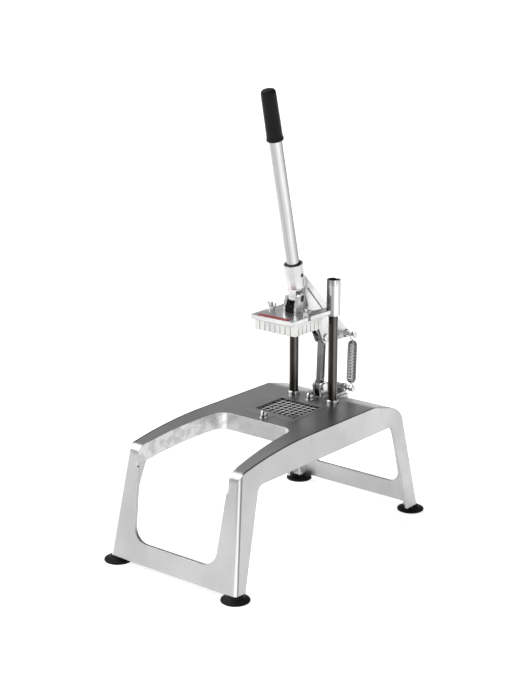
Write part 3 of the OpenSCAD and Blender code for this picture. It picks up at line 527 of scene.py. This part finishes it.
@once
def blade_steel(name):
    """Blade steel: sides painted nearly black as painted shade between the blades, and the ground edge
    along the top painted bright, partly its real polish and partly painted highlight.
    """
    material, tree, shader, place = blank_material(name, 1.0)
    lines = noise(tree, stretched(tree, place, (1, 1, 0.1)), 900.0, 2.0, 0.6)
    stain = remap(tree, noise(tree, place, 90.0, 3.0, 0.6), 0.4, 0.65)
    # painted shade: the sides painted nearly black, with random stains
    sides = mix_colour(tree, stain, (0.035, 0.033, 0.028), (0.10, 0.095, 0.08))
    edge = mix_colour(tree, lines, grey(0.8), grey(1.0))
    # painted highlight: the ground edge along the top painted bright, partly its real polish
    land = remap(tree, axes(tree, place)["Z"], BLADE_EDGE_Z - 0.3 * MM, BLADE_EDGE_Z)
    paint(tree, shader, mix_colour(tree, land, sides, edge), remap(tree, stain, 0.0, 1.0, 0.24, 0.36))
    bump(tree, shader, lines, 0.15, 0.00003)
    return material


TURN_START = math.radians(-141.4)  # side of a bar from which its tones are listed, round to the right

# Painted reflections round a bar, as (share of the half turn, tone).
TUBE_REFLECTIONS = ((0.0, 0.6), (0.1, 0.56), (0.22, 0.45), (0.37, 0.38), (0.5, 0.54), (0.56, 0.72), (0.64, 0.64),
              (0.76, 0.42), (0.86, 0.2), (1.0, 0.26))
COLUMN_REFLECTIONS = ((0.0, 0.16), (0.16, 0.08), (0.3, 0.027), (0.46, 0.028), (0.54, 0.10), (0.6, 0.16),
                (0.66, 0.14), (0.73, 0.06), (0.86, 0.11), (1.0, 0.3))
SLEEVE_REFLECTIONS = ((0.0, 0.34), (0.18, 0.17), (0.26, 0.3), (0.33, 0.46), (0.4, 0.36), (0.45, 0.25), (0.5, 0.45),
                (0.55, 0.84), (0.63, 0.82), (0.7, 0.66), (0.8, 0.42), (1.0, 0.5))
COIL_REFLECTIONS = ((0.0, 0.3), (0.2, 0.34), (0.32, 0.2), (0.42, 0.2), (0.5, 0.55), (0.56, 0.7), (0.63, 0.4),
              (0.7, 0.2), (0.82, 0.2), (1.0, 0.4))
CHROME_REFLECTIONS = ((0.0, 0.35), (0.12, 0.85), (0.34, 0.9), (0.4, 0.12), (0.53, 0.05), (0.58, 0.6), (0.63, 0.9),
                (0.82, 0.85), (0.9, 0.3), (1.0, 0.3))


@once
def round_bar(name, reflection_tones, rough, centre, lean=0.0, pivot=PIVOT, warmth=1.0, bore=0.0):
    """A round metal bar with painted reflections in bands round its axis, painted nearly black as painted
    shade nearer to the axis than the given radius.
    """
    material, tree, shader, place = blank_material(name, 1.0)
    if lean:
        turn = tree.nodes.new("ShaderNodeMapping")
        turn.vector_type = "POINT"
        tree.links.new(place, turn.inputs["Vector"])
        turn.inputs["Rotation"].default_value = (-lean, 0, 0)
        turn.inputs["Location"].default_value = -(Matrix.Rotation(-lean, 3, "X") @ pivot)
        place = turn.outputs["Vector"]
    streaks = noise(tree, stretched(tree, place, (1, 1, 60)), 500.0, 3.0, 0.6)
    clouds = noise(tree, place, 40.0, 2.0, 0.5)
    angle = use_group(tree, "Round Angle", Vector=place, Centre=centre, Start_Angle=TURN_START)
    # painted reflection: tones in bands round the bar's axis
    tone = tone_ramp(tree, angle.outputs["Share"], [
        (position, (level, level * (1 + warmth) / 2, level * warmth)) for position, level in reflection_tones])
    # painted shade: nearly black nearer to the axis than the given radius
    outside = remap(tree, angle.outputs["Radius"], bore - 0.3 * MM, bore) if bore else 1.0
    streaked = tree.nodes.new("ShaderNodeVectorMath")
    streaked.operation = "SCALE"
    tree.links.new(mix_colour(tree, outside, grey(0.01), tone), streaked.inputs[0])
    tree.links.new(remap(tree, streaks, 0.3, 0.7, 0.88, 1.1), streaked.inputs["Scale"])
    paint(tree, shader, streaked.outputs[0], remap(tree, clouds, 0.3, 0.7, *rough))
    bump(tree, shader, streaks, 0.12, 0.00005)
    return material


def upright_bar(name, reflection_tones, rough, x, y, **more):
    """A round bar's finish about an upright axis at a place in mm."""
    return round_bar(name, reflection_tones, rough, (x * MM, y * MM, 0), **more)


@once
def rubber(name, colour, rough, dust=0.3):
    """Black rubber or moulded plastic with a fine skin and a trace of dust."""
    material, tree, shader, place = blank_material(name)
    clouds = noise(tree, place, 35.0, 3.0, 0.6)
    dusty = times(tree, remap(tree, clouds, 0.45, 0.75), dust)
    shader.inputs["Specular IOR Level"].default_value = 0.14
    tone = mix_colour(tree, dusty, tuple(colour), shade(colour, 3.2))
    paint(tree, shader, tone, remap(tree, clouds, 0.3, 0.7, *rough))
    bump(tree, shader, noise(tree, place, 1500.0, 2.0, 0.5), 0.3, 0.00012)
    return material


def black_rubber():
    return rubber("black_rubber", colours().rubber, (0.42, 0.6))


@once
def red_band(name):
    """Matt red band with a few scuffs."""
    material, tree, shader, place = blank_material(name)
    c = colours().band
    clouds = noise(tree, place, 60.0, 3.0, 0.6)
    scuffs = remap(tree, noise(tree, stretched(tree, place, (1, 0.2, 0.2)), 220.0, 4.0, 0.7), 0.58, 0.7)
    tone = mix_colour(tree, clouds, shade(c, 0.75), shade(c, 1.15))
    tone = mix_colour(tree, times(tree, scuffs, 0.35), tone, (0.5, 0.3, 0.28))
    paint(tree, shader, tone, remap(tree, clouds, 0.3, 0.7, 0.3, 0.45))
    bump(tree, shader, scuffs, 0.2, 0.00005)
    return material


# ---------- shaping helpers


def switch(mode):
    bpy.ops.object.mode_set(mode=mode)


def clear_selection():
    if bpy.context.object and bpy.context.object.mode != "OBJECT":
        switch("OBJECT")
    for piece in bpy.context.view_layer.objects:
        piece.select_set(False)


def take(piece):
    clear_selection()
    piece.select_set(True)
    bpy.context.view_layer.objects.active = piece


def settle(piece):
    """Puts a piece's place into its mesh."""
    take(piece)
    bpy.ops.object.transform_apply(location=True, rotation=True, scale=True)


def shade_piece(piece, angle):
    take(piece)
    bpy.ops.object.shade_smooth_by_angle(angle=math.radians(angle))


def apply_bevel(piece, width, segments, angle=30):
    take(piece)
    bevel = piece.modifiers.new("Edges", "BEVEL")
    bevel.width = width
    bevel.segments = segments
    bevel.limit_method = "ANGLE"
    bevel.angle_limit = math.radians(angle)
    bevel.use_clamp_overlap = True
    bpy.ops.object.modifier_apply(modifier=bevel.name)


def finished(piece, body, nodes, material, angle=None):
    """Gives a piece its shading, its finish, its body and the solids that it stands for."""
    if angle:
        shade_piece(piece, angle)
    piece.data.materials.clear()
    piece.data.materials.append(material)
    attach(piece, body)
    if nodes:
        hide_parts(*nodes)
    return piece


def close_up(merge=None):
    """Leaves edit mode with the faces pointing outwards, and points nearer than merge made one."""
    bpy.ops.mesh.select_all(action="SELECT")
    if merge:
        bpy.ops.mesh.remove_doubles(threshold=merge)
    bpy.ops.mesh.normals_make_consistent(inside=False)
    switch("OBJECT")


def rounded_copy(node, name, edge, segments, material, flat=True):
    """A copy of a solid with its edges rounded, and its flat faces joined where flat asks for it."""
    source = frame["nodes"][node]
    piece = bpy.data.objects.new(name, source.data.copy())
    bpy.context.scene.collection.objects.link(piece)
    take(piece)
    switch("EDIT")
    bpy.ops.mesh.select_all(action="SELECT")
    bpy.ops.mesh.remove_doubles(threshold=0.002 * MM)
    if flat:
        bpy.ops.mesh.dissolve_limited(angle_limit=math.radians(0.15))
    switch("OBJECT")
    if piece.data.has_custom_normals:
        bpy.ops.mesh.customdata_custom_splitnormals_clear()
    if edge:
        apply_bevel(piece, edge, segments)
    shade_piece(piece, 32)
    if edge:
        weighted = piece.modifiers.new("Normals", "WEIGHTED_NORMAL")
        weighted.keep_sharp = True
        weighted.weight = 50
        bpy.ops.object.modifier_apply(modifier=weighted.name)
    return finished(piece, source["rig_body"], [node], material)


def plated(node, name, edge, segments=2, flat=True):
    """A rounded copy in plated steel."""
    return rounded_copy(node, name, edge, segments, plated_steel(), flat)


def extrude(rise):
    bpy.ops.mesh.extrude_region_move(TRANSFORM_OT_translate={"value": (0, 0, rise * MM)})


def taper(across, along, centre):
    """Narrows what is selected about a centre in mm."""
    bpy.ops.transform.resize(value=(across, along, 1), center_override=Vector(centre) * MM)


def draw_up(name, profile, sides, fill):
    """A circle drawn up through points (radius, height) in mm about Z, left open for editing."""
    clear_selection()
    r, z = profile[0]
    bpy.ops.mesh.primitive_circle_add(vertices=sides, radius=r * MM, fill_type=fill, location=(0, 0, 0))
    piece = bpy.context.object
    piece.name = name
    switch("EDIT")
    bpy.ops.mesh.select_mode(type="VERT")
    bpy.ops.mesh.select_all(action="SELECT")
    bpy.ops.transform.translate(value=(0, 0, z * MM))
    for next_r, next_z in profile[1:]:
        extrude(next_z - z)
        taper(next_r / r, next_r / r, (0, 0, next_z))
        r, z = next_r, next_z
    return piece


def turned(name, profile, sides):
    """A closed round piece about Z, from points (radius, height) in mm, flat at both ends."""
    piece = draw_up(name, profile, sides, "NGON")
    close_up()
    return piece


def lathe(name, profile, sides):
    """A hollow round piece about Z, from a closed outline of points (radius, height) in mm."""
    piece = draw_up(name, (*profile, profile[0]), sides, "NOTHING")
    close_up(0.001 * MM)
    return piece


def joined(pieces, name):
    clear_selection()
    for piece in pieces:
        piece.select_set(True)
    bpy.context.view_layer.objects.active = pieces[0]
    bpy.ops.object.join()
    pieces[0].name = name
    return pieces[0]


def moved(piece, offset):
    """Moves a piece by an offset in mm and settles it there."""
    piece.location = Vector(offset) * MM
    settle(piece)
    return piece


def another(piece, offset):
    """A copy of a piece, with its own mesh, moved by an offset."""
    twin = piece.copy()
    twin.data = piece.data.copy()
    bpy.context.scene.collection.objects.link(twin)
    twin.matrix_world = Matrix.Translation(offset) @ piece.matrix_world
    return twin


def block_between(low, high):
    """A block between two corners in mm."""
    clear_selection()
    low, high = Vector(low), Vector(high)
    bpy.ops.mesh.primitive_cube_add(size=1, location=(low + high) / 2 * MM)
    piece = bpy.context.object
    piece.scale = (high - low) * MM
    settle(piece)
    return piece


def edit_faces(piece, facing):
    """Opens a piece for editing with only its faces towards a direction selected."""
    take(piece)
    switch("EDIT")
    bpy.ops.mesh.select_mode(type="FACE")
    bpy.ops.mesh.select_all(action="DESELECT")
    switch("OBJECT")
    for face in piece.data.polygons:
        face.select = face.normal.dot(Vector(facing)) > 0.9
    switch("EDIT")


def to_handle(piece):
    """Stands a piece on the handle's middle line."""
    frame_of_handle = Matrix.Translation(PIVOT) @ Matrix.Rotation(LEAN, 4, "X")
    piece.matrix_world = frame_of_handle @ Matrix.Translation((0, HANDLE_BACK, 0)) @ piece.matrix_world
    settle(piece)


def wire_along(name, points, diameter):
    """A round wire along points, as a closed mesh."""
    clear_selection()
    curve = bpy.data.curves.new(name, "CURVE")
    curve.dimensions = "3D"
    curve.bevel_depth = diameter / 2
    curve.bevel_resolution = 2
    curve.use_fill_caps = True
    spline = curve.splines.new("POLY")
    spline.points.add(len(points) - 1)
    for target, point in zip(spline.points, points):
        target.co = (*point, 1)
    wire = bpy.data.objects.new(name, curve)
    bpy.context.scene.collection.objects.link(wire)
    take(wire)
    bpy.ops.object.convert(target="MESH")
    wire = bpy.context.object
    switch("EDIT")
    close_up(0.0001 * MM)
    return wire


# ---------- stage


FLOOR_GLOW = 0.62  # light that the floor gives to the camera and to mirrors
SKY = ((0.0, 0.95), (0.06, 0.9), (0.2, 0.56), (0.34, 0.4), (0.6, 0.32), (1.0, 0.5))  # (height, tone)
SKY_ZONES = (  # direction, inner and outer angle, tone
    ((0.275, 0.748, 0.603), 12, 34, 0.03),
    ((-0.60, -0.28, 0.75), 14, 40, 1.35),
)
LAMPS = (  # name, direction, strength, angle
    ("key", (-0.6, -0.3, 0.75), 1.0, 45),
    ("fill", (0.7, -0.5, 0.5), 0.35, 60),
)


def studio_floor():
    """Pale floor that is seen almost white, by the camera and in mirrors alike."""
    material = bpy.data.materials.new("studio_floor")
    material.use_nodes = True
    tree = material.node_tree
    tree.nodes.clear()
    diffuse = tree.nodes.new("ShaderNodeBsdfDiffuse")
    diffuse.inputs["Color"].default_value = (0.9, 0.9, 0.9, 1)
    glow = tree.nodes.new("ShaderNodeEmission")
    glow.inputs["Color"].default_value = (1, 1, 1, 1)
    path = tree.nodes.new("ShaderNodeLightPath")
    seen = math_node(tree, "MAXIMUM", path.outputs["Is Camera Ray"], math_node(
        tree, "MAXIMUM", path.outputs["Is Glossy Ray"], path.outputs["Is Transmission Ray"]))
    tree.links.new(times(tree, seen, FLOOR_GLOW), glow.inputs["Strength"])
    both = tree.nodes.new("ShaderNodeAddShader")
    out = tree.nodes.new("ShaderNodeOutputMaterial")
    tree.links.new(diffuse.outputs[0], both.inputs[0])
    tree.links.new(glow.outputs[0], both.inputs[1])
    tree.links.new(both.outputs[0], out.inputs["Surface"])
    return material


def studio_sky(world):
    """A sky that darkens upwards, with a dark zone behind the cutter and a bright one at its left."""
    world.use_nodes = True
    tree = world.node_tree
    background = tree.nodes["Background"]
    direction = tree.nodes.new("ShaderNodeTexCoord").outputs["Generated"]
    sky = tone_ramp(tree, axes(tree, direction)["Z"], [(height, grey(level)) for height, level in SKY])
    for towards, inner, outer, level in SKY_ZONES:
        near = vector_node(tree, "DOT_PRODUCT", direction, Vector(towards).normalized())
        start, full = math.cos(math.radians(outer)), math.cos(math.radians(inner))
        share = remap(tree, near.outputs["Value"], start, full)
        sky = mix_colour(tree, share, sky, grey(level))
    tree.links.new(sky, background.inputs["Color"])
    background.inputs["Strength"].default_value = 1.0


class FRYCUTTER_OT_stage(bpy.types.Operator):
    """Builds the floor, the soft lights, the world and the camera"""

    bl_idname = "frycutter.stage"
    bl_label = "Studio"

    def execute(self, context):
        clear_selection()
        bpy.ops.mesh.primitive_plane_add(size=sizes().floor_size, location=(0, 0, 0))
        floor = context.object
        floor.name = "studio_floor"
        floor.data.materials.append(studio_floor())

        world = bpy.data.worlds.new("studio")
        context.scene.world = world
        studio_sky(world)

        for name, towards, strength, angle in LAMPS:
            lamp = bpy.data.lights.new(name, "SUN")
            lamp.energy = strength
            lamp.angle = math.radians(angle)
            piece = bpy.data.objects.new(name, lamp)
            piece.rotation_euler = Vector(towards).to_track_quat("Z", "Y").to_euler()
            context.scene.collection.objects.link(piece)

        data = bpy.data.cameras.new("photo_view")
        data.lens = 79.3
        data.sensor_width = 36
        data.clip_end = 200
        camera = bpy.data.objects.new("photo_view", data)
        camera.location = (1.4315, -1.7940, 0.9634)
        camera.rotation_euler = (math.radians(90 - 16), 0, math.radians(38.9))
        context.scene.collection.objects.link(camera)
        context.scene.camera = camera
        context.scene.view_settings.view_transform = "Standard"
        return {"FINISHED"}


# ---------- pieces


class FRYCUTTER_OT_base(bpy.types.Operator):
    """Dresses the base casting and the studs of its feet"""

    bl_idname = "frycutter.base"
    bl_label = "Base casting"

    def execute(self, context):
        skin = cast_base("cast_aluminium")
        rounded_copy("base_casting", "base_shell", 0, 0, skin, flat=False)
        plated("foot_studs", "foot_stud_set", 0)
        return {"FINISHED"}


class FRYCUTTER_OT_feet(bpy.types.Operator):
    """Turns the four suction feet"""

    bl_idname = "frycutter.feet"
    bl_label = "Suction feet"

    def execute(self, context):
        profile = [(21.4, 0.0), (21.9, 0.4), (22, 1.0), (22, 1.9), (21.7, 2.6), (20.5, 3.3), (18.6, 3.8),
                   (16.0, 4.6), (15.6, 4.5), (15.2, 4.7), (13.4, 6.0), (12.2, 7.4), (11.6, 8.8), (9.0, 9.0)]
        pattern = turned("foot_front_left", profile, 56)
        for place in ("front_left", "front_right", "rear_left", "rear_right"):
            low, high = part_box("suction_foot_" + place)
            centre = (low + high) / 2
            foot = another(pattern, Vector((centre.x, centre.y, 0)))
            foot.name = "foot_" + place
            settle(foot)
            finished(foot, "base", ["suction_foot_" + place], black_rubber(), 50)
        bpy.data.objects.remove(pattern)
        return {"FINISHED"}


def ground_blade(along_x, low, high):
    """A thin blade between two corners in mm, its upper edge ground to a narrow land on both sides."""
    piece = block_between(low, high)
    middle = (high + low) / 2
    edit_faces(piece, (0, 0, 1))
    bpy.ops.transform.translate(value=(0, 0, -BLADE_GRIND * MM))
    extrude(BLADE_GRIND)
    across, along = (1, BLADE_LAND) if along_x else (BLADE_LAND, 1)
    taper(across, along, (middle.x, middle.y, high.z))
    switch("OBJECT")
    return piece


def acorn_nut(name):
    """A flanged hexagon nut with a domed cap, standing on z = 0."""
    flange = turned(name, [(7, 0), (7, 1.0), (6.6, 1.6), (5.9, 1.7)], 48)
    clear_selection()
    hexagon_d, hexagon_h, hexagon_z = 12.4, 5.2, 1.5
    bpy.ops.mesh.primitive_cylinder_add(vertices=6, radius=hexagon_d / 2 * MM, depth=hexagon_h * MM,
                                        location=(0, 0, (hexagon_z + hexagon_h / 2) * MM))
    hexagon = bpy.context.object
    settle(hexagon)
    apply_bevel(hexagon, 0.5 * MM, 2, 20)
    dome_r, dome_z, dome_h = 5.2, 6.9, 4.55
    dome = [(dome_r * math.cos(math.radians(d)), dome_z + dome_h * math.sin(math.radians(d)))
            for d in (12, 24, 36, 48, 60, 72, 83)]
    cap = turned("cap", [(5.1, 6.4), (dome_r, dome_z), *dome, (0.3, 11.48)], 40)
    return joined([flange, hexagon, cap], name)


class FRYCUTTER_OT_knife_block(bpy.types.Operator):
    """Dresses the knife block, grinds its blades and makes its cap nuts"""

    bl_idname = "frycutter.knife_block"
    bl_label = "Knife block"

    def execute(self, context):
        rounded_copy("knife_block_frame", "knife_frame", 0.5 * MM, 2, metal("block_metal"),
                     flat=False)
        # both sets are slotted into each other over their whole height
        blades_low, blades_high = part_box("blades_across")[0].z / MM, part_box("blades_along")[1].z / MM
        for node, name, along_x in (
            ("blades_across", "knife_rows", True),
            ("blades_along", "knife_columns", False),
        ):
            low, high = (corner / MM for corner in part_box(node))
            low.z, high.z = blades_low, blades_high
            side = 1 if along_x else 0
            blades = []
            for i in range(round((high[side] - low[side] - BLADE_T) / CELL) + 1):
                near, far = Vector(low), Vector(high)
                near[side] = low[side] + i * CELL
                far[side] = near[side] + BLADE_T
                blades.append(ground_blade(along_x, near, far))
            piece = joined(blades, name)
            finished(piece, "base", [node], blade_steel("blade_steel"), 20)
        plated("clamp_studs", "clamp_stud_set", 0.3 * MM, 1)
        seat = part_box("clamp_nuts")[0].z / MM
        for name, y in (("clamp_nut_front", CLAMP_Y[0]), ("clamp_nut_rear", CLAMP_Y[1])):
            nut = moved(acorn_nut(name), (0, y, seat))
            plating = upright_bar(name + "_plating", CHROME_REFLECTIONS, MIRROR, 0, y)
            finished(nut, "base", [], plating, 40)
        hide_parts("clamp_nuts")
        return {"FINISHED"}


class FRYCUTTER_OT_columns(bpy.types.Operator):
    """Dresses the columns with their collars and nuts"""

    bl_idname = "frycutter.columns"
    bl_label = "Columns"

    def execute(self, context):
        low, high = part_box("column_left")
        foot, top = low.z / MM, high.z / MM
        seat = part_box("column_collar_left")[0].z / MM
        collar_h = (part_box("column_collar_left")[1].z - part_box("column_collar_left")[0].z) / MM
        for side, x in (("left", -COLUMN_X), ("right", COLUMN_X)):
            column = turned("guide_column_" + side, [
                (THREAD_R - 0.6, foot), (THREAD_R, foot + 0.6), (THREAD_R, seat), (COLUMN_R, seat + 0.01),
                (COLUMN_R, top - 1), (7.3, top - 0.4), (6.6, top - 0.05), (6.4, top)], 64)
            moved(column, (x, COLUMN_Y, 0))
            steel = upright_bar("column_steel_" + side, COLUMN_REFLECTIONS, (0.2, 0.32), x, COLUMN_Y, warmth=0.86)
            finished(column, "base", ["column_" + side], steel, 30)
            collar = lathe("collar_" + side, [
                (COLUMN_R, 0), (9.4, 0), (9.7, 0.3), (9.7, collar_h - 1.8), (9.5, collar_h - 1.1),
                (9.0, collar_h - 0.5), (8.3, collar_h - 0.1), (8.1, collar_h), (COLUMN_R, collar_h)], 64)
            moved(collar, (x, COLUMN_Y, seat))
            plating = upright_bar("collar_plating_" + side, CHROME_REFLECTIONS, MIRROR, x, COLUMN_Y)
            finished(collar, "base", ["column_collar_" + side], plating, 30)
        plated("column_nuts", "column_nut_set", 0.4 * MM, flat=False)
        return {"FINISHED"}


class FRYCUTTER_OT_bracket(bpy.types.Operator):
    """Dresses the rear bracket, its screws and its pins"""

    bl_idname = "frycutter.bracket"
    bl_label = "Rear bracket"

    def execute(self, context):
        rounded_copy("rear_bracket", "anchor_bracket", sizes().small_edge, 2, metal("bracket_casting"))
        plated("bracket_screws", "bracket_screw_set", sizes().fine_edge)
        plated("link_anchor_pin", "anchor_pin", 0.4 * MM)
        plated("spring_anchor_pin", "spring_pin_lower", 0.4 * MM)
        return {"FINISHED"}


class FRYCUTTER_OT_carriage(bpy.types.Operator):
    """Dresses the carriage plate with its sleeves, stop block, band and pivot"""

    bl_idname = "frycutter.carriage"
    bl_label = "Carriage"

    def execute(self, context):
        rounded_copy("carriage_plate", "carriage_casting", sizes().small_edge, 2, bright_casting(),
                     flat=False)
        low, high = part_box("guide_sleeve_left")
        foot, top = low.z / MM, high.z / MM
        for side, x in (("left", -COLUMN_X), ("right", COLUMN_X)):
            sleeve = lathe("sleeve_" + side, [
                (SLEEVE_BORE_R, foot), (10.7, foot), (11.1, foot + 0.15), (SLEEVE_R, foot + 0.6),
                (SLEEVE_R, top - 0.8), (11.1, top - 0.25), (10.6, top), (9.6, top), (9.2, top - 0.4),
                (SLEEVE_BORE_R, top - 3)], 72)
            moved(sleeve, (x, COLUMN_Y, 0))
            chrome = upright_bar("chrome_sleeve_" + side, SLEEVE_REFLECTIONS, MIRROR, x, COLUMN_Y,
                                 bore=SHADED_MOUTH_R * MM)
            finished(sleeve, "carriage", ["guide_sleeve_" + side], chrome, 30)
        rounded_copy("stop_bumper", "stop_block", 0.8 * MM, 3, black_rubber())
        rounded_copy("front_band", "red_band", 0.12 * MM, 1, red_band("band_red"))
        rounded_copy("lever_pivot_pin", "pivot_pin", 0.5 * MM, 2, metal("dark_pin"))
        return {"FINISHED"}


def finger(low_z, high_z):
    """A pusher finger with draft and a chamfered lower end, between two heights in mm."""
    root, end = FINGER_WIDTHS
    chamfer, inset = 0.6, 1.0
    half = root / 2
    piece = block_between((-half, -half, low_z), (half, half, high_z))
    edit_faces(piece, (0, 0, -1))
    bpy.ops.transform.translate(value=(0, 0, chamfer * MM))
    taper(end / root, end / root, (0, 0, low_z))
    extrude(-chamfer)
    taper((end - inset) / end, (end - inset) / end, (0, 0, low_z))
    switch("OBJECT")
    return piece


class FRYCUTTER_OT_pusher(bpy.types.Operator):
    """Dresses the pusher with its fingers, studs and wing nuts"""

    bl_idname = "frycutter.pusher"
    bl_label = "Pusher"

    def execute(self, context):
        low, high = (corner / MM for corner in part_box("pusher_block"))
        across, along = FIELD_CELLS
        plate_t, play, overlap = 4.2, 0.35, 0.1
        shelf = high.z - plate_t
        half_x, half_y = across * CELL / 2 - play, along * CELL / 2 - play
        plate = block_between((-half_x, FIELD_Y - half_y, shelf), (half_x, FIELD_Y + half_y, high.z))
        apply_bevel(plate, 0.5 * MM, 2)
        first = finger(low.z, shelf + overlap)
        fingers = [plate]
        for i in range(across):
            for j in range(along):
                x, y = (i - (across - 1) / 2) * CELL, FIELD_Y + (j - (along - 1) / 2) * CELL
                fingers.append(another(first, Vector((x, y, 0)) * MM))
        bpy.data.objects.remove(first)
        pusher = joined(fingers, "pusher")
        settle(pusher)
        finished(pusher, "carriage", ["pusher_block"], pusher_casting(), 25)
        plated("pusher_studs", "pusher_stud_set", 0.4 * MM, 1)
        for side in ("left", "right"):
            plated("wing_nut_" + side, "wing_nut_" + side + "_turned", sizes().fine_edge)
        return {"FINISHED"}


class FRYCUTTER_OT_lever(bpy.types.Operator):
    """Dresses the lever casting and the pins of its arm"""

    bl_idname = "frycutter.lever"
    bl_label = "Lever"

    def execute(self, context):
        rounded_copy("lever_casting", "bell_crank", sizes().small_edge, 2, bright_casting())
        plated("lever_ear_pins", "fork_pins", 0.4 * MM)
        plated("spring_lever_pin", "spring_pin_upper", 0.4 * MM)
        rounded_copy("socket_screw", "socket_set_screw", 0.2 * MM, 1, metal("dark_pin"))
        rounded_copy("socket_ring", "mouth_ring", 0.3 * MM, 2, black_rubber())
        return {"FINISHED"}


class FRYCUTTER_OT_handle(bpy.types.Operator):
    """Dresses the handle tube and moulds its grip"""

    bl_idname = "frycutter.handle"
    bl_label = "Handle"

    def execute(self, context):
        low, high = TUBE_ENDS
        tube = lathe("handle_bar", [
            (TUBE_BORE_R, low), (TUBE_R - 0.2, low), (TUBE_R, low + 0.3), (TUBE_R, high - 0.2),
            (TUBE_R - 0.2, high), (TUBE_BORE_R, high)], 64)
        to_handle(tube)
        steel = round_bar("tube_steel", TUBE_REFLECTIONS, (0.2, 0.3), (0, HANDLE_BACK, 0), LEAN)
        finished(tube, "lever", ["handle_tube"], steel, 30)
        low, high = GRIP_ENDS
        grip = turned("grip", [
            (TUBE_R, low), (12.6, low), (13.2, 258), (13.4, 259), (13.4, 260.6), (13.1, 262), (12.6, 263.8),
            (12.4, 266), (12.2, 287), (12.0, 307), (11.85, 322), (11.7, 331), (11.3, 333.2), (10.5, 334.9),
            (9.2, 336.2), (7.4, 336.85), (4.0, high), (1.0, high)], 64)
        to_handle(grip)
        moulded = rubber("grip_black", colours().grip, (0.3, 0.42), 0.2)
        finished(grip, "lever", ["handle_grip"], moulded, 50)
        return {"FINISHED"}


class FRYCUTTER_OT_link(bpy.types.Operator):
    """Dresses the link bar and its joint pin"""

    bl_idname = "frycutter.link"
    bl_label = "Link"

    def execute(self, context):
        rounded_copy("link_bar", "link", 0.7 * MM, 2, metal("link_casting"))
        plated("link_joint_pin", "link_pin", 0)
        return {"FINISHED"}


def spring_points():
    """Middle line of the coil in its own frame, in metres: both ends draw in to a cone."""
    wire, turns = sizes().wire, sizes().turns
    end, cone_turns, steps = 9.5 * MM, 2.5, 20
    reach = (JOINT_D - JOINT_E).length - 2 * end - wire
    narrow, wide = 3.4 * MM, (16.4 * MM - wire) / 2
    points = []
    for i in range(turns * steps + 1):
        t = i / steps
        from_end = min(t, turns - t, cone_turns)
        r = narrow + (wide - narrow) * math.sin(math.pi / 2 * from_end / cone_turns)
        points.append((r * math.cos(2 * math.pi * t), r * math.sin(2 * math.pi * t),
                       end + wire / 2 + reach * t / turns))
    return points


class FRYCUTTER_OT_spring(bpy.types.Operator):
    """Winds the return spring and dresses its hooks"""

    bl_idname = "frycutter.spring"
    bl_label = "Return spring"

    def execute(self, context):
        lean = -math.atan2(*(JOINT_D - JOINT_E).yz)
        place = Matrix.Translation(JOINT_E) @ Matrix.Rotation(lean, 4, "X")
        coil = wire_along("spring_coil", [place @ Vector(p) for p in spring_points()], sizes().wire)
        shade_piece(coil, 60)
        wire = round_bar("spring_coil_wire", COIL_REFLECTIONS, (0.18, 0.3), (0, 0, 0), lean, JOINT_E)
        coil.data.materials.append(wire)
        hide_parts("return_spring")
        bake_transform(coil)
        for end in ("lower", "upper"):
            rounded_copy("spring_hook_" + end, "hook_" + end, 0, 0, metal("spring_wire"))
        return {"FINISHED"}


# ---------- panel and running


PIECES = (
    FRYCUTTER_OT_stage,
    FRYCUTTER_OT_base,
    FRYCUTTER_OT_feet,
    FRYCUTTER_OT_knife_block,
    FRYCUTTER_OT_columns,
    FRYCUTTER_OT_bracket,
    FRYCUTTER_OT_carriage,
    FRYCUTTER_OT_pusher,
    FRYCUTTER_OT_lever,
    FRYCUTTER_OT_handle,
    FRYCUTTER_OT_link,
    FRYCUTTER_OT_spring,
)


class FRYCUTTER_PT_panel(bpy.types.Panel):
    """Lists the sizes, the colours and the pieces"""

    bl_idname = "FRYCUTTER_PT_panel"
    bl_label = "French Fry Cutter"
    bl_space_type = "VIEW_3D"
    bl_region_type = "UI"
    bl_category = "Fry Cutter"

    def draw(self, context):
        column = self.layout.column()
        for group in (context.scene.fry_cutter_sizes, context.scene.fry_cutter_colours):
            for name in group.__annotations__:
                column.prop(group, name)
        for piece in PIECES:
            column.operator(piece.bl_idname)


CLASSES = (FryCutterSizes, FryCutterColours, *PIECES, FRYCUTTER_PT_panel)


def register():
    for each in CLASSES:
        bpy.utils.register_class(each)
    bpy.types.Scene.fry_cutter_sizes = bpy.props.PointerProperty(type=FryCutterSizes)
    bpy.types.Scene.fry_cutter_colours = bpy.props.PointerProperty(type=FryCutterColours)


def unregister():
    del bpy.types.Scene.fry_cutter_colours
    del bpy.types.Scene.fry_cutter_sizes
    for each in reversed(CLASSES):
        bpy.utils.unregister_class(each)


def main():
    register()
    for piece in PIECES:
        group, name = piece.bl_idname.split(".")
        getattr(getattr(bpy.ops, group), name)()


if __name__ == "__main__":
    main()
